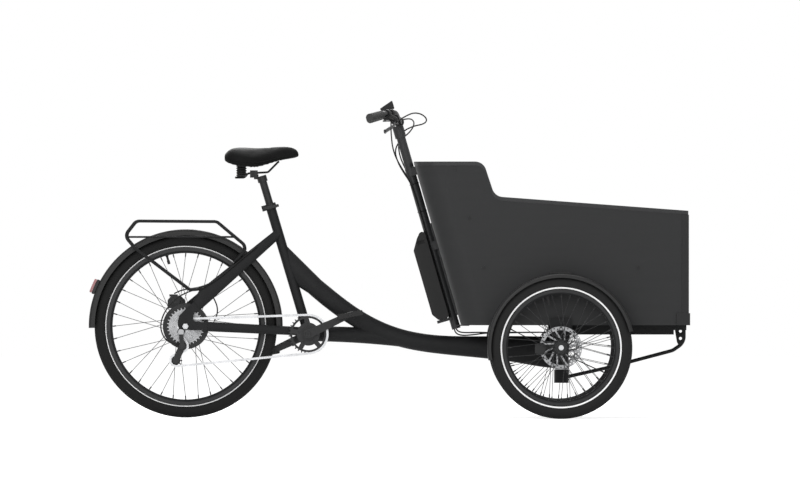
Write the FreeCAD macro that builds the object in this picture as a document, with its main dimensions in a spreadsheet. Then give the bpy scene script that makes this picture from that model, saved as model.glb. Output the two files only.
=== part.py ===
import FreeCAD, Part
import math
import operator
import os

import Sketcher
from FreeCAD import Placement, Rotation, Vector

# Cargo tricycle with a front box. Millimetres, +X forward, +Y left, +Z up.
# The origin lies on the ground in the middle of the tricycle's outer box.

# Driving dimensions, each set by itself
SIZES = {
    # where the wheels stand
    "rear_axle_back": 725.3,
    "wheelbase": 1338,
    "pivot_lead": 6,
    "wheel_side": 75,
    # fits
    "seat_gap": 0.3,
    "running_fit": 0.05,
    # tyres, rims and spokes
    "rear_bead_radius": 279.5,
    "rear_tyre_width": 47,
    "rear_rim_depth": 17.5,
    "front_bead_radius": 203,
    "front_tyre_width": 50,
    "front_rim_depth": 13.5,
    "tyre_wall": 3.5,
    "inner_tube_wall": 1.2,
    "rim_flange_height": 4,
    "rim_flange_wall": 1.8,
    "spoke_radius": 1,
    "spoke_inset": 2.5,
    "spoke_head_gap": 1.1,
    "nipple_radius": 2.2,
    "nipple_length": 12,
    # rear hub, axle and brake
    "axle_radius": 6,
    "axle_nut_radius": 11,
    "axle_nut_width": 8,
    "dropout_half_spacing": 70,
    "dropout_thickness": 6,
    "motor_flange_radius": 82,
    "motor_body_radius": 74,
    "motor_wall": 5,
    "motor_right": 24,
    "motor_left": 44,
    "motor_flange_width": 4,
    "stator_radius": 58,
    "carrier_shaft_radius": 13,
    "rotor_radius": 75,
    "rotor_thickness": 2,
    "rear_rotor_offset": 53,
    # front hub
    "front_hub_half_width": 32,
    "front_flange_radius": 22,
    "inner_flange_radius": 29,
    "front_flange_width": 3,
    "front_barrel_radius": 17,
    "front_rotor_gap": 4,
    "disc_step": 5,
    "bearing_radius": 14,
    "bearing_width": 8,
    # drive train
    "chain_pitch": 12.7,
    "chain_side": 56,
    "chainring_teeth": 34,
    "chainring_thickness": 2,
    "cog_spacing": 4.5,
    "cog_thickness": 1.8,
    "carrier_wall": 4,
    "bottom_bracket_forward": 438.7,
    "bottom_bracket_height": 298.8,
    "bracket_shell_radius": 21,
    "bracket_shell_half": 36.5,
    "bracket_wall": 4,
    "spindle_radius": 10,
    "boss_past_ring": 4,
    "crank_length": 165,
    "crank_angle": 25,
    "crank_side": 72,
    "crank_thickness": 14,
    "crank_root_half": 16,
    "crank_tip_half": 11,
    "pedal_length": 92,
    "pedal_width": 96,
    "pedal_thickness": 18,
    "pedal_tilt": 11,
    "pedal_gap": 2,
    "pedal_axle_radius": 5,
    "pulley_teeth": 10,
    "guide_pulley_back": 11.7,
    "guide_pulley_drop": 70.5,
    "cage_length": 56.3,
    "hanger_bolt_radius": 5,
    "hanger_back": 15.7,
    "hanger_drop": 19.9,
    # rear frame
    "seat_angle": 16.6,
    "seat_tube_radius": 17.5,
    "seat_tube_length": 486,
    "collar_height": 20,
    "collar_wall": 4,
    "beam_width": 48,
    "beam_wall": 3,
    "beam_weld_middle": 270.5,
    "beam_weld_length": 165,
    "head_tube_radius": 26,
    "head_gap": 8,
    "head_tube_length": 115,
    "headset_height": 12,
    "stay_width": 16,
    "stay_weld": 376,
    "bridge_radius": 7,
    # mudguards, tail light and carrier
    "guard_wall": 2,
    "guard_bend": 10,
    "rear_guard_gap": 20.5,
    "rear_guard_width": 56,
    "rear_guard_lip": 22,
    "rear_guard_sweep": 184,
    "rear_guard_dip": 3,
    "front_guard_gap": 9,
    "front_guard_width": 62,
    "front_guard_lip": 14,
    "front_guard_sweep": 177,
    "front_guard_start": 13,
    "light_start": 151.8,
    "light_sweep": 9,
    "light_depth": 10,
    "light_width": 46,
    "lens_depth": 9,
    "lens_inset": 0.4,
    "lens_bend": 3,
    "rack_tube_radius": 5.5,
    "rack_rod_radius": 3.5,
    "rack_width": 130,
    # seat
    "seat_post_radius": 13.6,
    "seat_post_wall": 2.6,
    "seat_post_exposed": 104,
    "seat_post_inserted": 200,
    "seat_drop": 80,
    "rail_radius": 3.5,
    "rail_half_spread": 22,
    "rail_foot_drop": 5.8,
    "elastomer_height": 41.6,
    "elastomer_radius": 19,
    # cargo box
    "deck_height": 332,
    "box_width": 600,
    "box_panel": 10,
    "box_back_height": 914,
    "box_back_top": 90,
    "box_back_bottom": 259,
    "box_front": 1066,
    "box_front_drop": 49,
    "box_step_drop": 126,
    "box_step_front": 407,
    "box_corner_radius": 90,
    "box_floor_thickness": 12,
    "trim_depth": 14,
    "trim_wall": 1.5,
    "bolt_radius": 7,
    "bolt_head": 3,
    "bolt_row_ahead": 139.5,
    "bolt_row_low": 204,
    "bolt_row_high": 25,
    "profile_leg": 23,
    "profile_wall": 2,
    "foot_length": 48,
    "foot_height": 43,
    "foot_wall": 6.2,
    # front subframe
    "pivot_shaft_radius": 12,
    "cap_radius": 26.3,
    "cap_height": 48,
    "cap_gap": 3,
    "rail_height": 34,
    "rail_width": 30,
    "rail_spread": 320,
    "rail_front": 1017,
    "rail_behind": 35,
    "hanger_gap": 3,
    "hanger_thickness": 7,
    "hanger_lobe": 22,
    "hanger_length": 75,
    "hanger_above": 28,
    "front_nut_width": 6,
    "front_cross_height": 18,
    "gusset_side": 12,
    "gusset_thickness": 5,
    "gusset_hole_radius": 5.5,
    "support_tube_radius": 6.5,
    # steering column and bar
    "column_radius": 16,
    "column_wall": 2.5,
    "column_gap": 3.5,
    "column_foot_drop": 14,
    "column_rise": 121,
    "lower_clamp_rise": 267,
    "upper_clamp_drop": 50,
    "clamp_width": 44,
    "clamp_height": 30,
    "clamp_wall": 3,
    "spine_width": 20,
    "bar_radius": 11.1,
    "bar_half_width": 335,
    "bar_sweep": 20.5,
    "grip_radius": 14,
    "grip_length": 130,
    "display_tilt": 34.3,
    "display_length": 53.3,
    "display_thickness": 28,
    "display_width": 48,
    "display_back": 68.6,
    "display_up": 47,
    "display_side": 34,
    # battery
    "battery_length": 342,
    "battery_depth": 57,
    "battery_width": 90,
    "battery_rise": 30,
    "battery_front": 12.5,
    "battery_clearance": 4,
    "battery_recess": 12,
    "battery_bend": 12,
    "dock_thickness": 10,
    "dock_neck": 30,
}

doc = FreeCAD.newDocument("cargo_tricycle")
sheet = doc.addObject("Spreadsheet::Sheet", "sizes")
for row, (alias, number) in enumerate(SIZES.items(), start=1):
    sheet.set(f"A{row}", alias)
    sheet.set(f"B{row}", str(number))
    sheet.setAlias(f"B{row}", alias)
doc.recompute()

OPERATIONS = {"+": operator.add, "-": operator.sub, "*": operator.mul, "/": operator.truediv}


class Size:
    """A size: its value, and the formula over the sheet's cells that gives it."""

    def __init__(self, value, formula):
        self.value = float(value)
        self.formula = formula

    def __float__(self):
        return self.value

    def __add__(self, other):
        return combine(self, "+", other)

    def __radd__(self, other):
        return combine(other, "+", self)

    def __sub__(self, other):
        return combine(self, "-", other)

    def __rsub__(self, other):
        return combine(other, "-", self)

    def __mul__(self, other):
        return combine(self, "*", other)

    def __rmul__(self, other):
        return combine(other, "*", self)

    def __truediv__(self, other):
        return combine(self, "/", other)

    def __neg__(self):
        return combine(0, "-", self)


def as_size(number):
    """A bare number as a Size."""
    return number if isinstance(number, Size) else Size(number, f"({float(number):.9f})")


def combine(left, sign, right):
    """The Size that two Sizes or numbers give together."""
    left = as_size(left)
    right = as_size(right)
    value = OPERATIONS[sign](left.value, right.value)
    return Size(value, f"({left.formula} {sign} {right.formula})")


def sine(angle):
    """Sine of an angle in degrees."""
    angle = as_size(angle)
    return Size(math.sin(math.radians(angle.value)), f"sin({angle.formula})")


def cosine(angle):
    """Cosine of an angle in degrees."""
    angle = as_size(angle)
    return Size(math.cos(math.radians(angle.value)), f"cos({angle.formula})")


def root(number):
    """Square root of a Size."""
    return Size(math.sqrt(number.value), f"sqrt({number.formula})")


class Sheet:
    """Each cell of the sheet as a Size, by its alias."""


S = Sheet()
for alias in SIZES:
    setattr(S, alias, Size(sheet.get(alias), f"sizes.{alias}"))

subparts = []


def keep(thing, label):
    """Marks an object as a sub-part under its own label."""
    thing.Label = label
    subparts.append(thing)
    return thing


def bind(thing, **values):
    """Ties properties to the formulas of their sizes."""
    for name, value in values.items():
        thing.setExpression(name, as_size(value).formula)
    return thing


def place(thing, x=0, y=0, z=0, axis=None, angle=0):
    """Puts an object at a point, turned about an axis by an angle."""
    turned = Rotation(Vector(*axis), float(angle)) if axis else Rotation()
    thing.Placement = Placement(Vector(float(x), float(y), float(z)), turned)
    for name, value in (("x", x), ("y", y), ("z", z)):
        if isinstance(value, Size):
            thing.setExpression(f"Placement.Base.{name}", value.formula)
    if isinstance(angle, Size):
        thing.setExpression("Placement.Rotation.Angle", angle.formula)
    return thing


ALONG_Y = (1, 0, 0)


def rod(name, radius, length, x=0, y=0, z=0):
    """A round bar along Y, from y onward to the left."""
    bar = doc.addObject("Part::Cylinder", name)
    bind(bar, Radius=radius, Height=length)
    return place(bar, x, y, z, ALONG_Y, -90)


def post(name, radius, length, x=0, y=0, z=0):
    """A round bar along Z."""
    bar = doc.addObject("Part::Cylinder", name)
    bind(bar, Radius=radius, Height=length)
    return place(bar, x, y, z)


def block(name, length, width, height, x, y, z, lean=0):
    """A block centred in Y on y, from x forward and z up, leaned about Y."""
    brick = doc.addObject("Part::Box", name)
    bind(brick, Length=length, Width=width, Height=height)
    return place(brick, x, as_size(y) - as_size(width) / 2, z, (0, 1, 0), lean)


def nut(name, radius, length, x, y, z):
    """A hexagon along Y."""
    prism = doc.addObject("Part::Prism", name)
    prism.Polygon = 6
    bind(prism, Circumradius=radius, Height=length)
    return place(prism, x, y, z, ALONG_Y, -90)


def fuse(name, pieces):
    """Welds objects into one."""
    joined = doc.addObject("Part::MultiFuse", name)
    joined.Shapes = pieces
    joined.Refine = True
    return joined


def cut(name, base, tools):
    """Takes objects away from one object."""
    tool = tools[0]
    if len(tools) > 1:
        tool = doc.addObject("Part::MultiFuse", name + "_tools")
        tool.Shapes = tools
    cutter = doc.addObject("Part::Cut", name)
    cutter.Base = base
    cutter.Tool = tool
    return cutter


def common(name, first, second):
    """What two objects share."""
    shared = doc.addObject("Part::Common", name)
    shared.Base = first
    shared.Tool = second
    return shared


def group(name, pieces):
    """Holds separate solids together in one sub-part."""
    held = doc.addObject("Part::Compound", name)
    held.Links = pieces
    return held


def mirrored(name, thing):
    """The same object on the other side of the middle plane."""
    twin = doc.addObject("Part::Mirroring", name)
    twin.Source = thing
    twin.Normal = Vector(0, 1, 0)
    return twin


def solid(name, shape):
    """A document object for a shape that is worked out from the sheet's values."""
    feature = doc.addObject("Part::Feature", name)
    feature.Shape = shape
    return feature


def arc_middle(start, end, radius, turn):
    """A point halfway along the short arc between two points; turn is 1 for left and -1 for right."""
    chord = end - start
    half = chord.Length / 2
    rise = radius - math.sqrt(max(radius * radius - half * half, 0))
    outward = Vector(chord.y, -chord.x, 0).normalize() * (rise * turn)
    return start + chord * 0.5 + outward


def draw(body, plane_role, corners):
    """A closed sketch through corners (u, v); a corner (u, v, radius, turn) is reached by an arc."""
    sketch = body.newObject("Sketcher::SketchObject", body.Name + "_outline")
    plane = [item for item in body.Origin.OriginFeatures if item.Role == plane_role][0]
    sketch.AttachmentSupport = [(plane, "")]
    sketch.MapMode = "FlatFace"
    points = [Vector(float(corner[0]), float(corner[1]), 0) for corner in corners]
    count = len(corners)
    ends = []
    for index in range(count):
        following = (index + 1) % count
        start, end, corner = points[index], points[following], corners[following]
        if len(corner) == 2:
            sketch.addGeometry(Part.LineSegment(start, end), False)
            ends.append((1, 2))
            continue
        radius, turn = float(corner[2]), corner[3]
        sketch.addGeometry(Part.Arc(start, arc_middle(start, end, radius, turn), end), False)
        ends.append((1, 2) if turn > 0 else (2, 1))
    for index in range(count):
        following = (index + 1) % count
        joint = Sketcher.Constraint("Coincident", index, ends[index][1], following, ends[following][0])
        sketch.addConstraint(joint)
    for index, corner in enumerate(corners):
        for kind, value in (("DistanceX", corner[0]), ("DistanceY", corner[1])):
            limit = Sketcher.Constraint(kind, -1, 1, index, ends[index][0], float(value))
            number = sketch.addConstraint(limit)
            if isinstance(value, Size):
                sketch.setExpression(f"Constraints[{number}]", value.formula)
        if len(corners[(index + 1) % count]) == 4:
            radius = corners[(index + 1) % count][2]
            number = sketch.addConstraint(Sketcher.Constraint("Radius", index, float(radius)))
            if isinstance(radius, Size):
                sketch.setExpression(f"Constraints[{number}]", radius.formula)
    return sketch


def plate(name, corners, thickness):
    """A plate of a side outline (x, z), with its thickness shared about y = 0."""
    body = doc.addObject("PartDesign::Body", name)
    pad = body.newObject("PartDesign::Pad", name + "_pad")
    pad.Profile = draw(body, "XZ_Plane", corners)
    pad.SideType = "Symmetric"
    bind(pad, Length=thickness)
    return body


def turned(name, corners, sweep=360):
    """A round piece about Y from its half section (radius, y); a part turn goes up from +X."""
    body = doc.addObject("PartDesign::Body", name)
    sketch = draw(body, "XY_Plane", corners)
    turn = body.newObject("PartDesign::Revolution", name + "_turn")
    turn.Profile = sketch
    turn.ReferenceAxis = (sketch, ["V_Axis"])
    turn.Reversed = True
    bind(turn, Angle=sweep)
    return body


def ring(name, outer, inner, start, end):
    """A plain round ring about Y."""
    return turned(name, [(inner, start), (outer, start), (outer, end), (inner, end)])


def round_corners(body, radius):
    """Rounds the edges of a plate that run through its thickness."""
    doc.recompute()
    base = body.Tip
    names = []
    for number, edge in enumerate(base.Shape.Edges, start=1):
        straight = edge.Curve.TypeId == "Part::GeomLine"
        if straight and abs(edge.tangentAt(edge.FirstParameter).y) > 0.999:
            names.append(f"Edge{number}")
    fillet = body.newObject("PartDesign::Fillet", body.Name + "_fillet")
    fillet.Base = (base, names)
    bind(fillet, Radius=radius)
    return body


def spot(x, y, z):
    """A point from sizes or numbers."""
    return Vector(float(x), float(y), float(z))


def route(points, bend=None):
    """A wire of straight runs and tangent arcs; without a bend radius each arc is as large as fits."""
    edges = []
    last = points[0]
    for before, corner, after in zip(points, points[1:], points[2:]):
        back = before - corner
        ahead = after - corner
        half_turn = (math.pi - back.getAngle(ahead)) / 2
        reach = 0.45 * min(back.Length, ahead.Length)
        if bend is not None:
            reach = min(reach, bend * math.tan(half_turn))
        back.normalize()
        ahead.normalize()
        radius = reach / math.tan(half_turn)
        start = corner + back * reach
        end = corner + ahead * reach
        inward = (back + ahead).normalize()
        middle = corner + inward * (radius / math.cos(half_turn) - radius)
        edges.append(Part.LineSegment(last, start).toShape())
        edges.append(Part.Arc(start, middle, end).toShape())
        last = end
    edges.append(Part.LineSegment(last, points[-1]).toShape())
    return Part.Wire(edges)


def pipe(points, radius, bend=None):
    """A solid round bar along a route."""
    path = route(points, bend)
    heading = points[1] - points[0]
    section = Part.Wire([Part.makeCircle(radius, points[0], heading)])
    bar = path.makePipeShell([section], True, False)
    expected = math.pi * radius**2 * path.Length
    if abs(bar.Volume / expected - 1) > 0.01:
        raise ValueError(f"a pipe has {bar.Volume:.0f} mm3 where {expected:.0f} are due")
    return bar


def oval(x, y, z, pitch, half_depth, half_width):
    """An upright oval section at a point; pitch is the rise of the tube there, in degrees."""
    rise = math.radians(pitch)
    along = Vector(math.cos(rise), 0, math.sin(rise))
    deep = Vector(-math.sin(rise), 0, math.cos(rise))
    curve = Part.Ellipse(Vector(), max(half_depth, half_width), min(half_depth, half_width)).toShape()
    wide = Vector(0, 1, 0)
    turn = Rotation(deep, wide, along) if half_depth >= half_width else Rotation(wide, deep * -1, along)
    section = Part.Wire([curve])
    section.Placement = Placement(spot(x, y, z), turn)
    return section


LOFT_DEGREE = 3


def oval_tube(stations, wall=0, ruled=False):
    """A tube through oval sections, thinner all round by a wall."""
    sections = []
    for x, y, z, pitch, half_depth, half_width in stations:
        sections.append(oval(x, y, z, pitch, half_depth - wall, half_width - wall))
    return Part.makeLoft(sections, True, ruled, False, LOFT_DEGREE)


def bar_between(start, end, radius):
    """A straight round bar between two points."""
    return Part.makeCylinder(radius, (end - start).Length, start, end - start)


# Places that many pieces share
rear_x = -S.rear_axle_back
rear_z = S.rear_bead_radius + S.rear_tyre_width
front_x = S.wheelbase - S.rear_axle_back
front_z = S.front_bead_radius + S.front_tyre_width
pivot_x = front_x + S.pivot_lead
bracket_x = rear_x + S.bottom_bracket_forward
bracket_z = S.bottom_bracket_height
box_half = S.box_width / 2
wheel_y = box_half + S.wheel_side
hanger_side = box_half + S.hanger_gap
pivot_top = S.deck_height - S.rail_height
head_top = pivot_top - S.head_gap
head_bottom = head_top - S.head_tube_length
cap_top = head_bottom - S.cap_gap
cap_bottom = cap_top - S.cap_height
axle_bore = S.axle_radius + S.running_fit


def along_seat(distance, offset=0):
    """The point (x, z) at a distance up the seat tube and an offset ahead of it."""
    x = bracket_x - sine(S.seat_angle) * distance + cosine(S.seat_angle) * offset
    z = bracket_z + cosine(S.seat_angle) * distance + sine(S.seat_angle) * offset
    return x, z


# Wheels


def tyre(name, bead_radius, width):
    """A tyre casing open towards the rim, with the inner tube inside it."""
    half = width / 2
    middle = bead_radius + half
    inside = half - S.tyre_wall
    angles = (-157.5, -52.5, 52.5, 157.5)
    corners = []
    for angle in angles:
        corner = (middle + half * cosine(angle), half * sine(angle))
        corners.append(corner if angle == angles[0] else corner + (half, 1))
    for angle in reversed(angles):
        corner = (middle + inside * cosine(angle), inside * sine(angle))
        corners.append(corner if angle == angles[-1] else corner + (inside, -1))
    casing = turned(name + "_casing", corners)
    tube_radius = inside - S.seat_gap
    skin = doc.addObject("Part::Torus", name + "_tube_skin")
    bind(skin, Radius1=middle, Radius2=tube_radius)
    air = doc.addObject("Part::Torus", name + "_tube_air")
    bind(air, Radius1=middle, Radius2=tube_radius - S.inner_tube_wall)
    tube = cut(name + "_tube", skin, [air])
    place(tube, 0, 0, 0, ALONG_Y, 90)
    return [casing, tube]


def rim(name, bead_radius, width, depth):
    """A box rim with a flange on each side that holds the tyre's bead."""
    half = width / 2
    flange_top = bead_radius + S.rim_flange_height
    drop = half - S.rim_flange_height
    inside = root(half * half - drop * drop) + S.seat_gap
    outside = inside + S.rim_flange_wall
    seat = bead_radius - S.seat_gap
    spoke_face = seat - depth
    shoulder = seat - depth / 2
    foot = outside / 2
    corners = [
        (spoke_face, -foot),
        (spoke_face, foot),
        (shoulder, outside),
        (flange_top, outside),
        (flange_top, inside),
        (seat, inside),
        (seat, -inside),
        (flange_top, -inside),
        (flange_top, -outside),
        (shoulder, -outside),
    ]
    return turned(name, corners)


SPOKE_COUNT = 36
REAR_CROSS = 16
FRONT_CROSS = 62


def spokes(spoke_face, flanges, flange_width, cross, hand):
    """Laced spokes with their nipples.

    A flange is (y, hole radius), cross the angle from hub to rim hole, and hand is -1 for a mirrored wheel.
    """
    radius = float(S.spoke_radius)
    reach = float(spoke_face) - 2 * float(S.seat_gap)
    solids = []
    for number in range(SPOKE_COUNT):
        flange_y, hole_radius = (float(value) for value in flanges[number % 2])
        leading = (number // 2) % 2
        lean = 1 if leading else -1
        rim_angle = 2 * math.pi * number / SPOKE_COUNT
        hub_angle = rim_angle - lean * math.radians(cross)
        side = lean * (float(flange_width) / 2 + radius + float(S.spoke_head_gap))
        hub = spot(hand * hole_radius * math.cos(hub_angle), flange_y + side,
                   hole_radius * math.sin(hub_angle))
        rim_y = flange_y * 0.06
        end = spot(hand * reach * math.cos(rim_angle), rim_y, reach * math.sin(rim_angle))
        along = (end - hub).normalize()
        throat = end - along * float(S.nipple_length)
        solids.append(bar_between(hub, throat, radius))
        solids.append(bar_between(throat, end, float(S.nipple_radius)))
    return Part.makeCompound(solids)


ROTOR_BAND = 13
ROTOR_ARMS = 12
ROTOR_ARM_WIDTH = 6
ROTOR_ARM_SWEEP = 32
ROTOR_HOLES = 36
ROTOR_HOLE_RADIUS = 2.4


def rotor(name, plane_y, hand):
    """A brake disc about Y: a holed ring on arms swept to its hand, with its carrier ring."""
    outer = float(S.rotor_radius)
    thick = float(S.rotor_thickness)
    inner = outer - ROTOR_BAND
    carrier_radius = float(S.front_flange_radius) + ROTOR_ARM_WIDTH
    axis = Vector(0, 1, 0)
    base = Vector(0, float(plane_y) - thick / 2, 0)
    band = Part.makeCylinder(outer, thick, base, axis).cut(Part.makeCylinder(inner, thick, base, axis))
    carrier = Part.makeCylinder(carrier_radius, thick, base, axis)
    arms = []
    for number in range(ROTOR_ARMS):
        length = inner - carrier_radius + 9
        start = Vector(carrier_radius - ROTOR_ARM_WIDTH, base.y, -ROTOR_ARM_WIDTH / 2)
        arm = Part.makeBox(length, thick, ROTOR_ARM_WIDTH, start)
        arm.rotate(Vector(carrier_radius, 0, 0), axis, hand * ROTOR_ARM_SWEEP)
        arm = arm.common(Part.makeCylinder(inner + 2, thick, base, axis))
        arm.rotate(Vector(), axis, 360 * number / ROTOR_ARMS)
        arms.append(arm)
    holes = [Part.makeCylinder(float(S.front_barrel_radius), thick, base, axis)]
    for number in range(ROTOR_HOLES):
        angle = 2 * math.pi * number / ROTOR_HOLES
        row = ROTOR_BAND / 5 if number % 2 else -ROTOR_BAND / 5
        away = outer - ROTOR_BAND / 2 + row
        at = Vector(away * math.cos(angle), base.y, away * math.sin(angle))
        holes.append(Part.makeCylinder(ROTOR_HOLE_RADIUS, thick, at, axis))
    disc = band.fuse(arms + [carrier]).removeSplitter()
    return solid(name, disc.cut(holes))


def stand(pieces, name, x, y, z, turn=0):
    """Groups a wheel's solids about its own axle and stands them where they belong."""
    held = group(name, pieces)
    return place(held, x, y, z, (0, 0, 1), turn)


def rear_wheel():
    """Rear wheel with the motor in its hub."""
    keep(stand(tyre("rear_tyre", S.rear_bead_radius, S.rear_tyre_width), "rear_tyre_node", rear_x, 0, rear_z),
         "rear_tyre")
    hoop = rim("rear_rim_hoop", S.rear_bead_radius, S.rear_tyre_width, S.rear_rim_depth)
    keep(stand([hoop], "rear_rim_node", rear_x, 0, rear_z), "rear_rim")
    right = -S.motor_right
    left = S.motor_left
    flange = S.motor_flange_radius
    body = S.motor_body_radius
    inside = body - S.motor_wall
    boss = S.carrier_shaft_radius
    boss_end = -(S.chain_side + S.cog_spacing + S.cog_thickness)
    shell_corners = [
        (axle_bore + 3, boss_end),
        (boss, boss_end),
        (boss, right),
        (flange, right),
        (flange, right + S.motor_flange_width),
        (body, right + S.motor_flange_width),
        (body, left - S.motor_flange_width),
        (flange, left - S.motor_flange_width),
        (flange, left),
        (S.front_flange_radius, left),
        (S.front_flange_radius, S.rear_rotor_offset + S.rotor_thickness / 2 + 3),
        (S.bearing_radius, S.rear_rotor_offset + S.rotor_thickness / 2 + 3),
        (S.bearing_radius, left - S.motor_wall),
        (inside, left - S.motor_wall),
        (inside, right + S.motor_wall),
        (axle_bore + 3, right + S.motor_wall),
    ]
    shell = turned("motor_shell", shell_corners)
    disc_cut = ring("rear_disc_seat", S.front_flange_radius + 1, S.front_barrel_radius,
                    S.rear_rotor_offset - S.rotor_thickness / 2, S.rear_rotor_offset + S.rotor_thickness / 2)
    hub = cut("motor_hub", shell, [disc_cut])
    disc = rotor("rear_disc", S.rear_rotor_offset, 1)
    race = ring("motor_bearing_left", S.bearing_radius - S.running_fit / 2, axle_bore,
                left - S.motor_wall, left - S.motor_wall + S.bearing_width)
    race_right = ring("motor_bearing_right", axle_bore + 3 - S.running_fit / 2, axle_bore,
                      boss_end, boss_end + S.bearing_width)
    keep(stand([hub, disc, race, race_right], "rear_hub_node", rear_x, 0, rear_z), "rear_hub")
    face = S.rear_bead_radius - S.seat_gap - S.rear_rim_depth
    hole = flange - S.spoke_inset
    flanges = ((right + S.motor_flange_width / 2, hole), (left - S.motor_flange_width / 2, hole))
    laced = spokes(face, flanges, S.motor_flange_width, REAR_CROSS, 1)
    keep(stand([solid("rear_spoke_set", laced)], "rear_spokes_node", rear_x, 0, rear_z), "rear_spokes")


def front_wheel(side, turn):
    """One front wheel on its stub axle; +Y of the wheel's own frame points away from the box."""
    hand = -1 if turn == 0 else 1
    y = -hand * wheel_y
    name = f"front_{side}"
    keep(stand(tyre(name + "_tyre", S.front_bead_radius, S.front_tyre_width), name + "_tyre_node",
               front_x, y, front_z, turn), name + "_tyre")
    hoop = rim(name + "_rim_hoop", S.front_bead_radius, S.front_tyre_width, S.front_rim_depth)
    keep(stand([hoop], name + "_rim_node", front_x, y, front_z, turn), name + "_rim")
    half = S.front_hub_half_width
    barrel = S.front_barrel_radius
    flange = S.front_flange_radius
    width = S.front_flange_width
    inset = S.front_hub_half_width / 5
    bore = S.bearing_radius
    disc_in = -half - S.front_rotor_gap
    corners = [
        (bore, disc_in - S.rotor_thickness),
        (barrel - S.running_fit, disc_in - S.rotor_thickness),
        (barrel - S.running_fit, disc_in),
        (barrel + S.disc_step, disc_in),
        (barrel + S.disc_step, -half + inset - width),
        (S.inner_flange_radius, -half + inset - width),
        (S.inner_flange_radius, -half + inset),
        (barrel, -half + inset),
        (barrel, half - inset),
        (flange, half - inset),
        (flange, half - inset + width),
        (barrel, half - inset + width),
        (barrel, half),
        (bore, half),
    ]
    shell = turned(name + "_hub_shell", corners)
    disc = rotor(name + "_disc", disc_in - S.rotor_thickness / 2, hand)
    race_radius = bore - S.running_fit / 2
    inner_race = ring(name + "_bearing_inner", race_radius, axle_bore, -half, -half + S.bearing_width)
    outer_race = ring(name + "_bearing_outer", race_radius, axle_bore, half - S.bearing_width, half)
    pieces = [shell, disc, inner_race, outer_race]
    keep(stand(pieces, name + "_hub_node", front_x, y, front_z, turn), name + "_hub")
    face = S.front_bead_radius - S.seat_gap - S.front_rim_depth
    flanges = ((-half + inset - width / 2, S.inner_flange_radius - S.spoke_inset),
               (half - inset + width / 2, flange - S.spoke_inset))
    laced = spokes(face, flanges, width, FRONT_CROSS, hand)
    keep(stand([solid(name + "_spoke_set", laced)], name + "_spokes_node", front_x, y, front_z, turn),
         name + "_spokes")


rear_wheel()
front_wheel("right", 180)
front_wheel("left", 0)

# Rear frame


def upright_ring(name, outer, inner, height, x, y, z):
    """A plain ring about Z."""
    bar = post(name + "_outer", outer, height, x, y, z)
    return cut(name, bar, [post(name + "_bore", inner, height, x, y, z)])


def on_seat_tube(thing, distance, offset=0, y=0):
    """Stands an object along the seat tube, at a distance up it and an offset ahead."""
    x, z = along_seat(distance, offset)
    return place(thing, x, y, z, (0, -1, 0), S.seat_angle)


seat_outer = on_seat_tube(post("seat_tube_outer", S.seat_tube_radius, S.seat_tube_length), 0)
bracket_outer = rod("bracket_shell_outer", S.bracket_shell_radius, S.bracket_shell_half * 2,
                    bracket_x, -S.bracket_shell_half, bracket_z)
bracket_bore_radius = S.bracket_shell_radius - S.bracket_wall
post_foot = S.seat_tube_length - S.seat_post_inserted
post_top = S.seat_tube_length + S.seat_post_exposed


def seat_tube():
    """Seat tube with the bottom bracket shell at its foot."""
    bore = on_seat_tube(post("seat_post_bore", S.seat_post_radius + S.running_fit, S.seat_tube_length),
                        S.bracket_shell_radius)
    shell_bore = rod("bracket_shell_bore", bracket_bore_radius, S.bracket_shell_half * 2,
                     bracket_x, -S.bracket_shell_half, bracket_z)
    welded = fuse("seat_tube_welded", [seat_outer, bracket_outer])
    keep(cut("seat_tube_node", welded, [bore, shell_bore]), "seat_tube")


# Beam sections from the bottom bracket: ahead, up, pitch and half depth
BEAM_REAR = ((22.3, 169.9, -45, 33), (116.2, 94.5, -36, 33), (252.8, 13.9, -23.5, 32),
             (344.6, -17.8, -14.5, 32))
# Beam sections from the top of the head tube: ahead, up, pitch and half depth
BEAM_FRONT = ((-470, -25.3, -7, 32.5), (-269, -39, -3, 40), (-73, -54, -4, 54))
# Lower tube sections from the bottom bracket: ahead, up, pitch and half depth
LOWER_TUBE = ((0, 0, 0, 26), (136, -2, -2, 28), (334, -18, -8, 28))


def main_beam():
    """The deep bent beam from the seat tube to the head tube, with the lower tube below it."""
    half_width = float(S.beam_width) / 2
    weld_x, weld_z = along_seat(S.beam_weld_middle)
    head_middle = (head_top + head_bottom) / 2
    head_half = float(S.head_tube_length) / 2
    weld_half_width = float(S.seat_tube_radius) * 0.8
    stations = [(weld_x, 0, weld_z, float(S.seat_angle), float(S.beam_weld_length) / 2, weld_half_width)]
    for ahead, up, pitch, half_depth in BEAM_REAR:
        stations.append((bracket_x + ahead, 0, bracket_z + up, pitch, half_depth, half_width))
    for ahead, up, pitch, half_depth in BEAM_FRONT:
        stations.append((pivot_x + ahead, 0, head_top + up, pitch, half_depth, half_width))
    stations.append((pivot_x, 0, head_middle, 0, head_half - 1, half_width))
    lower = []
    for ahead, up, pitch, half_depth in LOWER_TUBE:
        lower.append((bracket_x + ahead, 0, bracket_z + up, pitch, half_depth, half_width * 0.8))
    wall = float(S.beam_wall)
    skin = oval_tube(stations[1:]).fuse([oval_tube(stations[:2], 0, True), oval_tube(lower)])
    inside = oval_tube(stations[1:], wall).fuse([oval_tube(stations[:2], wall, True), oval_tube(lower, wall)])
    head_height = S.head_tube_length
    head = post("head_tube_outer", S.head_tube_radius, head_height, pivot_x, 0, head_bottom)
    head_bore = post("head_tube_bore", S.head_tube_radius - S.bracket_wall, head_height,
                     pivot_x, 0, head_bottom)
    hollow = cut("beam_hollow", solid("beam_skin", skin), [solid("beam_inside", inside)])
    welded = fuse("beam_welded", [hollow, head])
    keep(cut("main_beam_node", welded, [head_bore, seat_outer, bracket_outer]), "main_beam")


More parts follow.
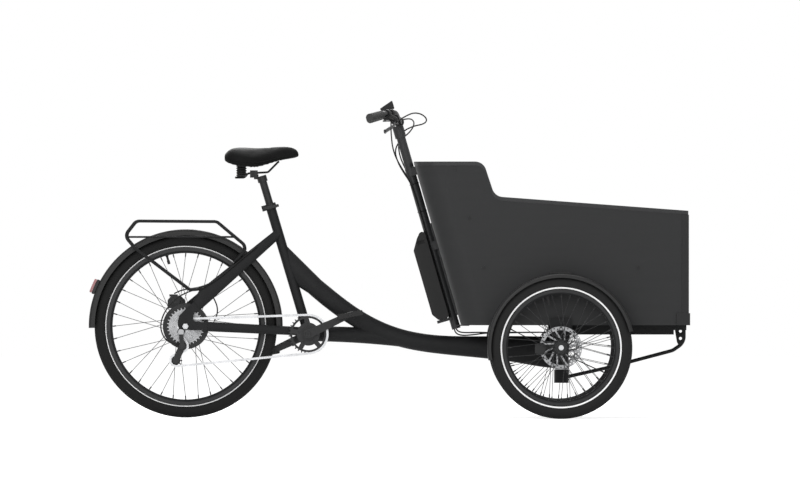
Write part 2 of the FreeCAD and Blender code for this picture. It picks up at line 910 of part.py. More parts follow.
def line_reach(start, end, centre, radius):
    """The point between start and end that lies at a radius from the centre in side view."""
    step = end - start
    away = start - centre
    a = step.x**2 + step.z**2
    b = 2 * (step.x * away.x + step.z * away.z)
    c = away.x**2 + away.z**2 - radius**2
    share = (-b + math.sqrt(b * b - 4 * a * c)) / (2 * a)
    return start + step * share


# Dropout outline from the axle, ahead and up
DROPOUT = ((-20, -12), (86, -15), (86, 13), (32, 19), (26, 30), (33, 50), (72, 86), (58, 112), (19, 78),
           (3, 64), (-10, 51), (-22, 38), (-27, 22), (-27, 2))
HANGER_TAB = ((-30, -20), (-16, -34), (-2, -20), (4, 0), (-20, 0))
CALIPER_TAB = ((-28, 42), (-10, 30), (20, 60), (50, 100), (50, 124), (-4, 80))
rear_guard_radius = rear_z + S.rear_guard_gap
stay_middle = S.dropout_half_spacing + S.dropout_thickness / 2


def rear_stays():
    """Seat stays and chain stays with their bridges and dropouts."""
    half_width = float(S.stay_width) / 2
    top_x, top_z = along_seat(S.stay_weld)
    axle = spot(rear_x, 0, rear_z)
    reach = float(rear_guard_radius) + float(S.bridge_radius + S.seat_gap)
    seat_end = axle + Vector(66, 0, 107)
    seat_foot = axle + Vector(41, 0, 76)
    chain_start = spot(bracket_x, 0, bracket_z) + Vector(-12, 0, 9)
    chain_end = axle + Vector(80, 0, -1)
    shoulder = spot(top_x, 0, top_z) + (seat_end - spot(top_x, 0, top_z)) * 0.17
    pieces = []
    for side in (-1, 1):
        end_y = side * float(stay_middle)
        upper = [
            (top_x, side * 11, top_z, 40, 16, half_width),
            (shoulder.x, side * 35, shoulder.z, 40, 18, half_width),
            (seat_end.x, end_y, seat_end.z, 40, 27, half_width),
            (seat_foot.x, end_y, seat_foot.z, 40, 20, half_width),
        ]
        lower = [
            (chain_start.x, side * 29, chain_start.z, -3, 15, half_width),
            (chain_end.x, end_y, chain_end.z, -3, 17, half_width),
        ]
        pieces.append(oval_tube(upper, 0, True))
        pieces.append(oval_tube(lower, 0, True))
    for start, end, spread in ((seat_end, spot(top_x, 0, top_z), 40), (chain_end, chain_start, 40)):
        middle = line_reach(start, end, axle, reach)
        across = Vector(0, spread, 0)
        pieces.append(bar_between(middle - across, middle + across, float(S.bridge_radius)))
    tubes = solid("stay_tubes", pieces[0].fuse(pieces[1:]))
    plates = []
    for side, y, tab_outline in (("right", -stay_middle, HANGER_TAB), ("left", stay_middle, CALIPER_TAB)):
        blank = round_corners(plate(f"dropout_{side}_blank", DROPOUT, S.dropout_thickness), 5)
        tab = plate(f"dropout_{side}_tab", tab_outline, S.dropout_thickness)
        plates.append(place(fuse(f"dropout_{side}", [blank, tab]), rear_x, y, rear_z))
    welded = fuse("stays_welded", [tubes] + plates)
    axle_hole = rod("dropout_axle_hole", axle_bore, S.dropout_half_spacing * 4, rear_x,
                    -S.dropout_half_spacing * 2, rear_z)
    hanger_start = -stay_middle - S.dropout_thickness * 1.5
    hanger_hole = rod("hanger_hole", S.hanger_bolt_radius + S.running_fit, S.dropout_thickness * 3,
                      rear_x - S.hanger_back, hanger_start, rear_z - S.hanger_drop)
    keep(cut("rear_stays_node", welded, [seat_outer, bracket_outer, axle_hole, hanger_hole]), "rear_stays")


def bearings():
    """Headset rings in the head tube and the two bottom bracket bearings."""
    outer = S.head_tube_radius - S.bracket_wall - S.running_fit / 2
    inner = S.pivot_shaft_radius + S.running_fit
    height = S.headset_height
    top = upright_ring("headset_top", outer, inner, height, pivot_x, 0, head_top - height)
    bottom = upright_ring("headset_bottom", outer, inner, height, pivot_x, 0, head_bottom)
    sides = []
    for name, start in (("right", -S.bracket_shell_half), ("left", S.bracket_shell_half - S.bearing_width)):
        race = ring(f"bracket_bearing_{name}", bracket_bore_radius - S.running_fit / 2,
                    S.spindle_radius + S.running_fit, start, start + S.bearing_width)
        sides.append(place(race, bracket_x, 0, bracket_z))
    keep(group("frame_bearings_node", [top, bottom] + sides), "frame_bearings")


def rear_axle():
    """Fixed rear axle with the motor's stator on it and a nut at each end."""
    reach = S.dropout_half_spacing + S.dropout_thickness
    half = reach + S.axle_nut_width + 4
    shaft = rod("rear_axle_shaft", S.axle_radius, half * 2, rear_x, -half, rear_z)
    inside = S.motor_left - S.motor_wall + S.motor_right - S.motor_wall
    stator_start = S.motor_wall - S.motor_right + 4
    stator = rod("motor_stator", S.stator_radius, inside - 8, rear_x, stator_start, rear_z)
    spacer_start = S.rear_rotor_offset + S.rotor_thickness / 2 + 4
    spacer = rod("axle_spacer_left", S.axle_radius + 4, S.dropout_half_spacing - spacer_start,
                 rear_x, spacer_start, rear_z)
    right_start = S.chain_side + S.cog_spacing + S.cog_thickness + 1
    spacer_right = rod("axle_spacer_right", S.axle_radius + 4, S.dropout_half_spacing - right_start,
                       rear_x, -S.dropout_half_spacing, rear_z)
    pieces = [shaft, stator, spacer, spacer_right]
    for side, start in (("right", -reach - S.axle_nut_width), ("left", reach)):
        pieces.append(nut(f"axle_nut_{side}", S.axle_nut_radius, S.axle_nut_width, rear_x, start, rear_z))
    keep(fuse("rear_axle_node", pieces), "rear_axle")


def guard_section(radius, width, lip):
    """Half section of a mudguard: a flat crown with rounded shoulders and straight lips."""
    half = width / 2
    wall = S.guard_wall
    bend = S.guard_bend
    crown = half - bend
    foot = radius - lip
    return [
        (foot, -half),
        (radius - bend, -half),
        (radius, -crown, bend, 1),
        (radius, crown),
        (radius - bend, half, bend, 1),
        (foot, half),
        (foot, half - wall),
        (radius - bend, half - wall),
        (radius - wall, crown, bend - wall, -1),
        (radius - wall, -crown),
        (radius - bend, wall - half, bend - wall, -1),
        (foot, wall - half),
    ]


def rear_mudguard():
    """Rear mudguard, from behind the axle over the tyre to the chain stays."""
    shape = turned("rear_guard", guard_section(rear_guard_radius, S.rear_guard_width, S.rear_guard_lip),
                   S.rear_guard_sweep)
    place(shape, rear_x, 0, rear_z, (0, 1, 0), S.rear_guard_dip)
    keep(group("rear_mudguard_node", [shape]), "rear_mudguard")


def light_shell(name, inner, depth, inset, width):
    """A curved block that follows the rear mudguard, with its corners rounded."""
    first = S.light_start + inset
    last = S.light_start + S.light_sweep - inset
    outer = inner + depth
    corners = [
        (inner * cosine(first), inner * sine(first), inner, -1),
        (outer * cosine(first), outer * sine(first)),
        (outer * cosine(last), outer * sine(last), outer, 1),
        (inner * cosine(last), inner * sine(last)),
    ]
    return place(round_corners(plate(name, corners, width), S.lens_bend), rear_x, 0, rear_z)


def tail_light():
    """Tail light housing on the mudguard with its lens."""
    seat = rear_guard_radius + S.seat_gap
    housing = light_shell("light_housing", seat, S.light_depth, 0, S.light_width)
    lens = light_shell("light_lens", seat + S.light_depth, S.lens_depth, S.lens_inset, S.light_width - 4)
    keep(group("tail_light_node", [housing, lens]), "tail_light")


# One side of the carrier's main tube from the axle: ahead, up and in from the carrier's side
RACK_TUBE = ((172, 229, 10), (213, 272, 0), (208, 293, 0), (111, 374.5, 0), (-177, 376.5, 0), (-218, 324, 0),
             (-182, 280, 0), (15, 130, 0), (60, 134, 0))


def rear_rack():
    """Rear carrier: one bent tube on each side, cross tubes and a lower rod."""
    radius = float(S.rack_tube_radius)
    thin = float(S.rack_rod_radius)
    half = float(S.rack_width) / 2
    axle = spot(rear_x, 0, rear_z)
    pieces = []
    for side in (-1, 1):
        points = []
        for ahead, up, inward in RACK_TUBE:
            points.append(axle + Vector(ahead, side * (half - inward), up))
        pieces.append(pipe(points, radius, 25))
        lower_start = axle + Vector(-213, side * half, 319.5)
        lower_end = axle + Vector(177, side * half, 319.5)
        pieces.append(bar_between(lower_start, lower_end, thin))
    for ahead, up in ((-165, 376.4), (-70, 375.7), (25, 375), (100, 374.5), (-206, 310)):
        across = Vector(0, half, 0)
        middle = axle + Vector(ahead, 0, up)
        pieces.append(bar_between(middle - across, middle + across, thin + 0.5))
    for y in (-22, 22):
        start = axle + Vector(-175, y, 376.5)
        end = axle + Vector(108, y, 374.5)
        pieces.append(bar_between(start, end, thin))
    tabs = solid("rack_tubes", pieces[0].fuse(pieces[1:]))
    keep(cut("rear_rack_node", tabs, [doc.getObject("stay_tubes")]), "rear_rack")


def rear_caliper():
    """Rear brake caliper on the left dropout, slotted for the disc."""
    inner = S.rear_rotor_offset - 6
    width = S.dropout_half_spacing - inner
    body = round_corners(plate("rear_caliper_body", ((-66, 64), (-2, 64), (-2, 92), (-20, 110), (-52, 110),
                                                       (-66, 94)), width), 4)
    place(body, rear_x, inner + width / 2, rear_z)
    slot = rod("rear_caliper_slot", S.rotor_radius + 1.5, S.rotor_thickness + 1.6,
               rear_x, S.rear_rotor_offset - S.rotor_thickness / 2 - 0.8, rear_z)
    arm = block("rear_caliper_arm", 30, 5, 8, rear_x - 60, inner + width - 6, rear_z + 106)
    keep(fuse("rear_caliper_node", [cut("rear_caliper_cut", body, [slot]), arm]), "rear_caliper")


def seat_collar():
    """Clamp collar at the top of the seat tube with the bolt of its quick release."""
    start = S.seat_tube_length - S.collar_height
    outer = on_seat_tube(post("collar_outer", S.seat_tube_radius + S.collar_wall, S.collar_height), start)
    ear = block("collar_ear", 16, 24, S.collar_height, 0, 0, 0)
    ear_x, ear_z = along_seat(start, -S.seat_tube_radius - S.collar_wall - 10)
    place(ear, ear_x, -12, ear_z, (0, -1, 0), S.seat_angle)
    bore = on_seat_tube(post("collar_bore", S.seat_tube_radius + S.running_fit, S.collar_height * 2),
                        start - S.collar_height / 2)
    bolt_x, bolt_z = collar_bolt()
    bolt = rod("collar_bolt", 3, 42, bolt_x, -24, bolt_z)
    bolt_nut = rod("collar_bolt_nut", 5, 7, bolt_x, 12, bolt_z)
    shaped = cut("collar_shaped", fuse("collar_blank", [outer, ear]), [bore])
    keep(fuse("seat_collar_node", [shaped, bolt, bolt_nut]), "seat_collar")


def collar_bolt(up=0):
    """Where the quick release bolt crosses the collar's ear, or a point further up beside it."""
    return along_seat(S.seat_tube_length - S.collar_height / 2 + up, -S.seat_tube_radius - S.collar_wall - 4)


LEVER_SIDE = 29


def seat_lever():
    """Quick release lever on the right, folded forward along the collar."""
    blade = round_corners(plate("lever_blade", ((0, -5), (56, -5), (56, 5), (0, 5)), 5), 2)
    bolt_x, bolt_z = collar_bolt()
    place(blade, bolt_x, -LEVER_SIDE, bolt_z, (0, -1, 0), 12)
    cam_x, cam_z = collar_bolt(-7)
    cam = place(post("lever_cam", 4.5, 14), cam_x, -LEVER_SIDE, cam_z, (0, -1, 0), S.seat_angle)
    keep(fuse("seat_lever_node", [blade, cam]), "seat_lever")


seat_tube()
main_beam()
rear_stays()
bearings()
rear_axle()
rear_mudguard()
tail_light()
rear_rack()
rear_caliper()
seat_collar()
seat_lever()

# Seat


def seatpost():
    """Seat post with the clamp that holds the saddle rails behind its top."""
    length = S.seat_post_inserted + S.seat_post_exposed
    tube = on_seat_tube(post("post_tube", S.seat_post_radius, length), post_foot)
    bore = on_seat_tube(post("post_hollow", S.seat_post_radius - S.seat_post_wall, length), post_foot)
    neck = on_seat_tube(post("clamp_neck", S.seat_post_radius + 4, 22), post_top - 22)
    top_x, top_z = along_seat(post_top)
    jaw = block("clamp_jaw", 27, 60, 26, top_x - 40, 0, top_z - 6)
    arm = block("clamp_arm", 16, 24, 18, top_x - 26, 0, top_z - 12)
    bolt = rod("clamp_bolt", 4, 76, top_x - 27, -38, top_z + 2)
    stem = cut("post_stem", tube, [bore])
    grooves = []
    for side in (-1, 1):
        front, back = rail_ends(top_x, top_z, side)
        rail = bar_between(back, front, float(S.rail_radius + S.running_fit))
        grooves.append(solid(f"rail_groove_{side + 1}", rail))
    keep(cut("seatpost_node", fuse("seatpost_welded", [stem, neck, jaw, arm, bolt]), grooves), "seatpost")
    return top_x, top_z


def rail_ends(top_x, top_z, side):
    """The ends of the straight stretch of a saddle rail, which the clamp holds."""
    spread = side * float(S.rail_half_spread)
    return spot(top_x + 24, spread, top_z + 13.2), spot(top_x - 48, spread, top_z + 9.4)


RAIL_BEND = 14
ELASTOMER_RIBS = 5
ELASTOMER_RIB_DEPTH = 4


def elastomer_section():
    """Half section of a ribbed elastomer, radius and height."""
    rib = S.elastomer_height / ELASTOMER_RIBS
    slim = S.elastomer_radius - ELASTOMER_RIB_DEPTH
    corners = [(0, 0)]
    for number in range(ELASTOMER_RIBS):
        corners.append((slim, rib * number))
        corners.append((S.elastomer_radius, rib * (number + 0.5)))
    corners.append((slim, S.elastomer_height))
    corners.append((0, S.elastomer_height))
    return corners


# Cover sections from nose to tail: ahead of the post top, half width, bottom and top above the post top
COVER = ((133, 10, 70, 79), (120, 26, 64, 93), (87, 35, 60, 98), (42, 50, 52, 95), (-10, 92, 42, 91),
         (-62, 114, 40, 95), (-102, 104, 44, 96), (-125, 74, 54, 80))


def saddle(top_x, top_z):
    """Saddle rails, ribbed elastomers and the padded cover."""
    rails = []
    springs = []
    for side in (-1, 1):
        front, back = rail_ends(top_x, top_z, side)
        points = [
            spot(top_x + 63, side * 15, top_z + 52.5),
            front,
            back,
            spot(top_x - 60, side * 24, top_z - S.rail_foot_drop),
            spot(top_x - 92, side * 46, top_z - S.rail_foot_drop),
        ]
        rails.append(pipe(points, float(S.rail_radius), RAIL_BEND))
        spring = turned(f"elastomer_{side + 1}", elastomer_section())
        foot = top_z - S.rail_foot_drop + S.rail_radius + S.seat_gap
        springs.append(place(spring, top_x - 71, side * 45, foot, ALONG_Y, 90))
    keep(solid("saddle_rails_node", Part.makeCompound(rails)), "saddle_rails")
    keep(group("saddle_elastomers_node", springs), "saddle_elastomers")
    wires = []
    for ahead, half, low, high in COVER:
        wires.append(saddle_section(float(top_x) + ahead, half, float(top_z) + low, float(top_z) + high))
    cover = Part.makeLoft(wires, True, False)
    keep(solid("saddle_cover_node", cover), "saddle_cover")


def saddle_section(x, half, low, high):
    """One crowned cross section of the saddle, drawn in towards its base."""
    tall = high - low
    foot = Vector(x, 0.84 * half, low)
    bulge = Vector(x, half, low + 0.32 * tall)
    shoulder = Vector(x, 0.9 * half, low + 0.7 * tall)
    brow = Vector(x, 0.55 * half, low + 0.95 * tall)
    crown = Vector(x, 0, low + 0.96 * tall)

    def other(point):
        return Vector(point.x, -point.y, point.z)

    edges = [
        Part.LineSegment(other(foot), foot),
        Part.Arc(foot, bulge, shoulder),
        Part.Arc(shoulder, brow, crown),
        Part.Arc(crown, other(brow), other(shoulder)),
        Part.Arc(other(shoulder), other(bulge), other(foot)),
    ]
    return Part.Wire([edge.toShape() for edge in edges])


saddle(*seatpost())

# Drive train

chain_y = -S.chain_side
COG_TEETH = (32, 28, 24, 21, 18, 15, 13, 11)
CHAIN_COG = 13
ROLLER_RADIUS = 3.8
ROLLER_WIDTH = 2.6
LINK_PLATE = 0.9
LINK_HALF_HEIGHT = 3.9


def pitch_radius(teeth):
    """Radius of the chain's pins round a sprocket."""
    return float(S.chain_pitch) / 2 / math.sin(math.pi / teeth)


def tangent(first, second):
    """Tangent points of the chain from one wheel to the next; a wheel is (centre, teeth, way round)."""
    (start, start_teeth, start_way), (end, end_teeth, end_way) = first, second
    across = end - start
    start_radius = start_way * pitch_radius(start_teeth)
    end_radius = end_way * pitch_radius(end_teeth)
    heading = math.atan2(across.z, across.x) + math.asin((start_radius - end_radius) / across.Length)
    right = Vector(math.sin(heading), 0, -math.cos(heading))
    return start + right * start_radius, end + right * end_radius


def angle_about(centre, point):
    """Angle of a point about a centre in side view."""
    return math.atan2(point.z - centre.z, point.x - centre.x)


def chain_loop(cage_angle):
    """The wheels that the chain runs over, and its stretches as (kind, links, data)."""
    guide = spot(rear_x - S.guide_pulley_back, 0, rear_z - S.guide_pulley_drop)
    hang = Vector(math.cos(cage_angle), 0, math.sin(cage_angle))
    tension = guide + hang * float(S.cage_length)
    pulley = int(float(S.pulley_teeth))
    wheels = [
        (spot(bracket_x, 0, bracket_z), int(float(S.chainring_teeth)), -1),
        (tension, pulley, -1),
        (guide, pulley, 1),
        (spot(rear_x, 0, rear_z), CHAIN_COG, -1),
    ]
    runs = [tangent(wheels[i], wheels[(i + 1) % 4]) for i in range(4)]
    stretches = []
    for number in range(4):
        leave, arrive = runs[number]
        stretches.append(("run", (arrive - leave).Length / float(S.chain_pitch), (leave, arrive)))
        centre, teeth, way = wheels[(number + 1) % 4]
        begin = angle_about(centre, arrive)
        end = angle_about(centre, runs[(number + 1) % 4][0])
        sweep = (way * (end - begin)) % (2 * math.pi)
        stretches.append(("wrap", sweep * teeth / (2 * math.pi), (centre, teeth, way, begin)))
    return wheels, stretches


def chain_links(cage_angle):
    """Length of the chain in links."""
    return sum(stretch[1] for stretch in chain_loop(cage_angle)[1])


def settle_cage():
    """The cage angle at which the chain is a whole, even number of links."""
    low = math.radians(-150)
    high = math.radians(-70)
    links = 2 * round(chain_links(math.radians(-112)) / 2)
    for _ in range(60):
        middle = (low + high) / 2
        if chain_links(middle) > links:
            low = middle
        else:
            high = middle
    return middle, links


cage_angle, link_count = settle_cage()
chain_wheels, chain_stretches = chain_loop(cage_angle)


def chain_pin(number):
    """Centre of one chain pin."""
    rest = float(number)
    for kind, links, data in chain_stretches:
        if rest > links:
            rest -= links
            continue
        if kind == "run":
            leave, arrive = data
            return leave + (arrive - leave) * (rest / links)
        centre, teeth, way, begin = data
        angle = begin + way * rest * 2 * math.pi / teeth
        return centre + Vector(math.cos(angle), 0, math.sin(angle)) * pitch_radius(teeth)
    return chain_pin(0)


def chain_phase(wheel):
    """Angle of the first chain pin on a wheel, where a tooth gap belongs."""
    passed = 0
    for kind, links, data in chain_stretches:
        if kind == "wrap" and (data[0] - wheel[0]).Length < 1e-6:
            first = math.ceil(passed)
            return angle_about(wheel[0], chain_pin(first))
        passed += links
    return 0


# One gap between teeth: out from the pin's centre, and along the rim
TOOTH_GAP = ((2.2, -5.4), (-4.2, -3.2), (-4.2, 3.2), (2.2, 5.4))


def sprocket(teeth, thickness, bore, phase, y):
    """A toothed disc about Y with a tooth gap at the phase angle."""
    radius = pitch_radius(teeth)
    points = []
    for number in range(teeth):
        middle = phase + 2 * math.pi * number / teeth
        outward = Vector(math.cos(middle), 0, math.sin(middle))
        sideways = Vector(-math.sin(middle), 0, math.cos(middle))
        for away, aside in TOOTH_GAP:
            points.append(outward * (radius + away) + sideways * aside)
    points.append(points[0])
    disc = Part.Face(Part.makePolygon(points)).extrude(Vector(0, thickness, 0))
    disc.translate(Vector(0, y - thickness / 2, 0))
    hole = Part.makeCylinder(bore, thickness * 2, Vector(0, y - thickness, 0), Vector(0, 1, 0))
    return disc.cut(hole)


def stadium(start, end, radius, y, thickness):
    """A flat link with round ends between two points in side view."""
    along = (end - start).normalize()
    aside = Vector(-along.z, 0, along.x) * radius
    edges = [
        Part.LineSegment(start - aside, end - aside),
        Part.Arc(end - aside, end + along * radius, end + aside),
        Part.LineSegment(end + aside, start + aside),
        Part.Arc(start + aside, start - along * radius, start - aside),
    ]
    face = Part.Face(Part.Wire([edge.toShape() for edge in edges]))
    link = face.extrude(Vector(0, thickness, 0))
    link.translate(Vector(0, y, 0))
    return link


def chain():
    """Roller chain: inner and outer link plates and their rollers."""
    pins = [chain_pin(number) for number in range(link_count)]
    middle = float(chain_y)
    half = ROLLER_WIDTH / 2
    solids = []
    for number in range(link_count):
        start = pins[number]
        end = pins[(number + 1) % link_count]
        base = half if number % 2 else half + LINK_PLATE
        solids.append(stadium(start, end, LINK_HALF_HEIGHT, middle + base, LINK_PLATE))
        solids.append(stadium(start, end, LINK_HALF_HEIGHT, middle - base - LINK_PLATE, LINK_PLATE))
        at = start + Vector(0, middle - half, 0)
        solids.append(Part.makeCylinder(ROLLER_RADIUS, ROLLER_WIDTH, at, Vector(0, 1, 0)))
    keep(solid("chain_node", Part.makeCompound(solids)), "chain")


def cassette():
    """Sprockets side by side on the freewheel carrier."""
    thick = float(S.cog_thickness)
    phase = chain_phase(chain_wheels[3])
    bore = float(S.carrier_shaft_radius + S.running_fit)
    barrel = float(S.carrier_shaft_radius + S.carrier_wall)
    small = COG_TEETH.index(CHAIN_COG)
    outer_y = float(chain_y) - float(S.cog_spacing) * (len(COG_TEETH) - 1 - small) - thick / 2
    inner_y = float(chain_y) + float(S.cog_spacing) * small + thick / 2
    carrier = Part.makeCylinder(barrel, inner_y - outer_y, Vector(0, outer_y, 0), Vector(0, 1, 0))
    discs = []
    for number, teeth in enumerate(COG_TEETH):
        y = float(chain_y) + float(S.cog_spacing) * (small - number)
        discs.append(sprocket(teeth, thick, bore, phase, y))
    welded = carrier.fuse(discs)
    for number in range(3):
        y = float(chain_y) + float(S.cog_spacing) * (small - number)
        for turn in range(6):
            angle = 2 * math.pi * turn / 6
            away = pitch_radius(COG_TEETH[number]) * 0.66
            at = Vector(away * math.cos(angle), y - thick, away * math.sin(angle))
            welded = welded.cut(Part.makeCylinder(away * 0.24, thick * 2, at, Vector(0, 1, 0)))
    through = Part.makeCylinder(bore, inner_y - outer_y + 2, Vector(0, outer_y - 1, 0), Vector(0, 1, 0))
    keep(place(solid("cassette_node", welded.cut(through)), rear_x, 0, rear_z), "cassette")


crank_turn = S.crank_angle
arm_inner = S.crank_side - S.crank_thickness / 2
arm_outer = S.crank_side + S.crank_thickness / 2
boss_radius = S.spindle_radius + 4


RING_ARMS = 5
RING_ARM_WIDTH = 17
# Outer and inner radius of the chainring's windows, as shares of its pitch radius
RING_WINDOW = (0.83, 0.6)


def chainring():
    """Chainring with five arms between curved windows, on the crank's boss."""
    teeth = int(float(S.chainring_teeth))
    thick = float(S.chainring_thickness)
    y = float(chain_y)
    phase = chain_phase(chain_wheels[0])
    disc = sprocket(teeth, thick, float(boss_radius + S.running_fit), phase, y)
    axis = Vector(0, 1, 0)
    base = Vector(0, y - thick, 0)
    outer, inner = (pitch_radius(teeth) * share for share in RING_WINDOW)
    windows = Part.makeCylinder(outer, thick * 2, base, axis)
    windows = windows.cut(Part.makeCylinder(inner, thick * 2, base, axis))
    for turn in range(RING_ARMS):
        arm = Part.makeBox(outer, thick * 2, RING_ARM_WIDTH, base - Vector(0, 0, RING_ARM_WIDTH / 2))
        arm.rotate(Vector(), axis, 360 * turn / RING_ARMS - float(S.crank_angle))
        windows = windows.cut(arm)
    keep(place(solid("chainring_node", disc.cut(windows)), bracket_x, 0, bracket_z), "chainring")


def crank_outline():
    """Side outline of a crank arm along +X, wider at the spindle than at the pedal."""
    wide = S.crank_root_half
    slim = S.crank_tip_half
    length = S.crank_length
    return [
        (0, -wide, wide, 1),
        (length, -slim),
        (length + slim, 0, slim, 1),
        (length, slim, slim, 1),
        (0, wide),
        (-wide, 0, wide, 1),
    ]


def crank_point(sign):
    """Centre of a pedal axle; sign is 1 for the right arm and -1 for the left arm."""
    return (bracket_x + sign * S.crank_length * cosine(S.crank_angle),
            bracket_z + sign * S.crank_length * sine(S.crank_angle))


def cranks():
    """Crank arms: the right one carries the spindle and the chainring's boss."""
    axle_length = S.pedal_width + S.pedal_gap * 2
    right = plate("crank_right_bar", crank_outline(), S.crank_thickness)
    place(right, bracket_x, -S.crank_side, bracket_z, (0, -1, 0), crank_turn)
    x, z = crank_point(1)
    pieces = [
        right,
        rod("crank_spindle", S.spindle_radius, S.crank_side * 2, bracket_x, -S.crank_side, bracket_z),
        rod("chainring_boss", boss_radius, arm_inner - S.chain_side + S.boss_past_ring,
            bracket_x, -arm_inner, bracket_z),
        rod("pedal_axle_right", S.pedal_axle_radius, axle_length, x, -arm_outer - axle_length, z),
        rod("ring_stop", boss_radius + 10, arm_inner - S.chain_side - S.chainring_thickness / 2,
            bracket_x, -arm_inner, bracket_z),
    ]
    keep(fuse("crank_arm_right_node", pieces), "crank_arm_right")
    left = plate("crank_left_bar", crank_outline(), S.crank_thickness)
    place(left, bracket_x, S.crank_side, bracket_z, (0, -1, 0), crank_turn + 180)
    x, z = crank_point(-1)
    sleeve = rod("crank_left_sleeve", boss_radius, arm_inner - S.bracket_shell_half - S.bearing_width / 4,
                 bracket_x, S.bracket_shell_half + S.bearing_width / 4, bracket_z)
    hole = rod("crank_left_hole", S.spindle_radius + S.running_fit / 2, S.crank_side * 2,
               bracket_x, 0, bracket_z)
    far = rod("crank_left_cap", S.spindle_radius + 3, 2, bracket_x, arm_outer, bracket_z)
    axle = rod("pedal_axle_left", S.pedal_axle_radius, axle_length, x, arm_outer, z)
    arm = cut("crank_left_bored", fuse("crank_left_blank", [left, sleeve]), [hole])
    keep(fuse("crank_arm_left_node", [arm, axle, far]), "crank_arm_left")


def pedal(side, sign):
    """A platform pedal that turns on its axle, with two windows and a ribbed rim."""
    x, z = crank_point(-sign)
    middle = sign * (arm_outer + S.pedal_gap + S.pedal_width / 2)
    half = S.pedal_length / 2
    half_thick = S.pedal_thickness / 2
    body = plate(f"pedal_{side}_body", ((-half, -half_thick), (half, -half_thick), (half, half_thick),
                                         (-half, half_thick)), S.pedal_width)
    round_corners(body, 4)
    tools = []
    for ahead in (-1, 1):
        near = S.pedal_axle_radius + 6
        far = half - 7
        start = near if ahead > 0 else -far
        tools.append(block(f"pedal_{side}_window_{ahead + 1}", far - near, S.pedal_width - 16,
                           S.pedal_thickness * 2, start, 0, -S.pedal_thickness))
    bore = rod(f"pedal_{side}_bore", S.pedal_axle_radius + S.running_fit, S.pedal_width * 2,
               0, -S.pedal_width, 0)
    shaped = cut(f"pedal_{side}_node", body, tools + [bore])
    place(shaped, x, middle, z, (0, -1, 0), S.pedal_tilt)
    keep(shaped, f"pedal_{side}")


CAGE_SPREAD = 5.5
CAGE_PLATE = 1.8
CAGE_PIN = 3


def pulleys():
    """Toothed derailleur pulleys with their bores."""
    teeth = int(float(S.pulley_teeth))
    for label, wheel in (("guide_pulley", chain_wheels[2]), ("tension_pulley", chain_wheels[1])):
        disc = sprocket(teeth, 2, CAGE_PIN + float(S.running_fit), chain_phase(wheel), float(chain_y))
        hub = Part.makeCylinder(7, 8, Vector(0, float(chain_y) - 4, 0), Vector(0, 1, 0))
        hole = Part.makeCylinder(CAGE_PIN + float(S.running_fit), 9, Vector(0, float(chain_y) - 4.5, 0),
                                 Vector(0, 1, 0))
        toothed = solid(label + "_node", disc.fuse(hub).cut(hole))
        toothed.Placement = Placement(wheel[0], Rotation())
        keep(toothed, label)


def derailleur():
    """Derailleur: the body bolted to the hanger, and the sprung cage with the two pulley pins."""
    guide = chain_wheels[2][0]
    tension = chain_wheels[1][0]
    middle = float(chain_y)
    axis = Vector(0, 1, 0)
    plates = [stadium(guide, tension, 12, middle + CAGE_SPREAD, CAGE_PLATE),
              stadium(guide, tension, 12, middle - CAGE_SPREAD - CAGE_PLATE, CAGE_PLATE)]
    low = middle - CAGE_SPREAD - CAGE_PLATE
    span = 2 * (CAGE_SPREAD + CAGE_PLATE)
    pins = [Part.makeCylinder(CAGE_PIN, span + 10, guide + Vector(0, low - 10, 0), axis),
            Part.makeCylinder(CAGE_PIN, span, tension + Vector(0, low, 0), axis)]
    keep(solid("derailleur_cage_node", plates[0].fuse([plates[1]] + pins)), "derailleur_cage")
    bolt = spot(rear_x - S.hanger_back, 0, rear_z - S.hanger_drop)
    outer = -float(stay_middle + S.dropout_thickness / 2)
    knuckle_top = Part.makeCylinder(11, 14, bolt + Vector(0, outer - 14, 0), axis)
    stud = Part.makeCylinder(float(S.hanger_bolt_radius), 20, bolt + Vector(0, outer, 0), axis)
    knuckle_low = Part.makeCylinder(12, 22, guide + Vector(0, low - 22.4, 0), axis)
    arm = stadium(bolt, guide, 8, outer - 12, 10)
    socket = Part.makeCylinder(CAGE_PIN + float(S.running_fit), 12, guide + Vector(0, low - 11, 0), axis)
    trimmed = stud.common(Part.makeBox(60, float(S.dropout_thickness), 60,
                                       bolt + Vector(-30, outer, -30)))
    body = knuckle_top.fuse([trimmed, knuckle_low, arm]).cut(socket)
    keep(solid("derailleur_body_node", body), "derailleur_body")


chain()
cassette()
chainring()
cranks()
pedal("right", -1)
pedal("left", 1)
pulleys()
derailleur()

# Front module

box_lean = S.box_back_bottom - S.box_back_top
box_rise = S.box_back_height - S.deck_height
lean_angle = math.degrees(math.atan2(float(box_lean), float(box_rise)))
box_step = S.box_back_height - S.box_step_drop
box_front_top = box_step - S.box_front_drop


def box_outline(drop):
    """Side outline of the box; drop is how far its top edge lies below the full height."""
    top = S.box_back_height - drop
    step = box_step - drop
    front_top = box_front_top - drop
    slide = box_lean / box_rise
    back_top = S.box_back_bottom - slide * (top - S.deck_height)
    return [
        (S.box_back_bottom, S.deck_height),
        (S.box_front, S.deck_height),
        (S.box_front, front_top),
        (S.box_step_front, step),
        (S.box_step_front - 37, step + 27, 41, -1),
        (S.box_step_front - 60, top - 29),
        (S.box_step_front - 99, top, 41, 1),
        (back_top, top),
    ]


def lean_box(thing):
    """Leans an object's own Z along the box's back, from the foot of that back."""
    return place(thing, S.box_back_bottom, 0, S.deck_height, (0, -1, 0), lean_angle)


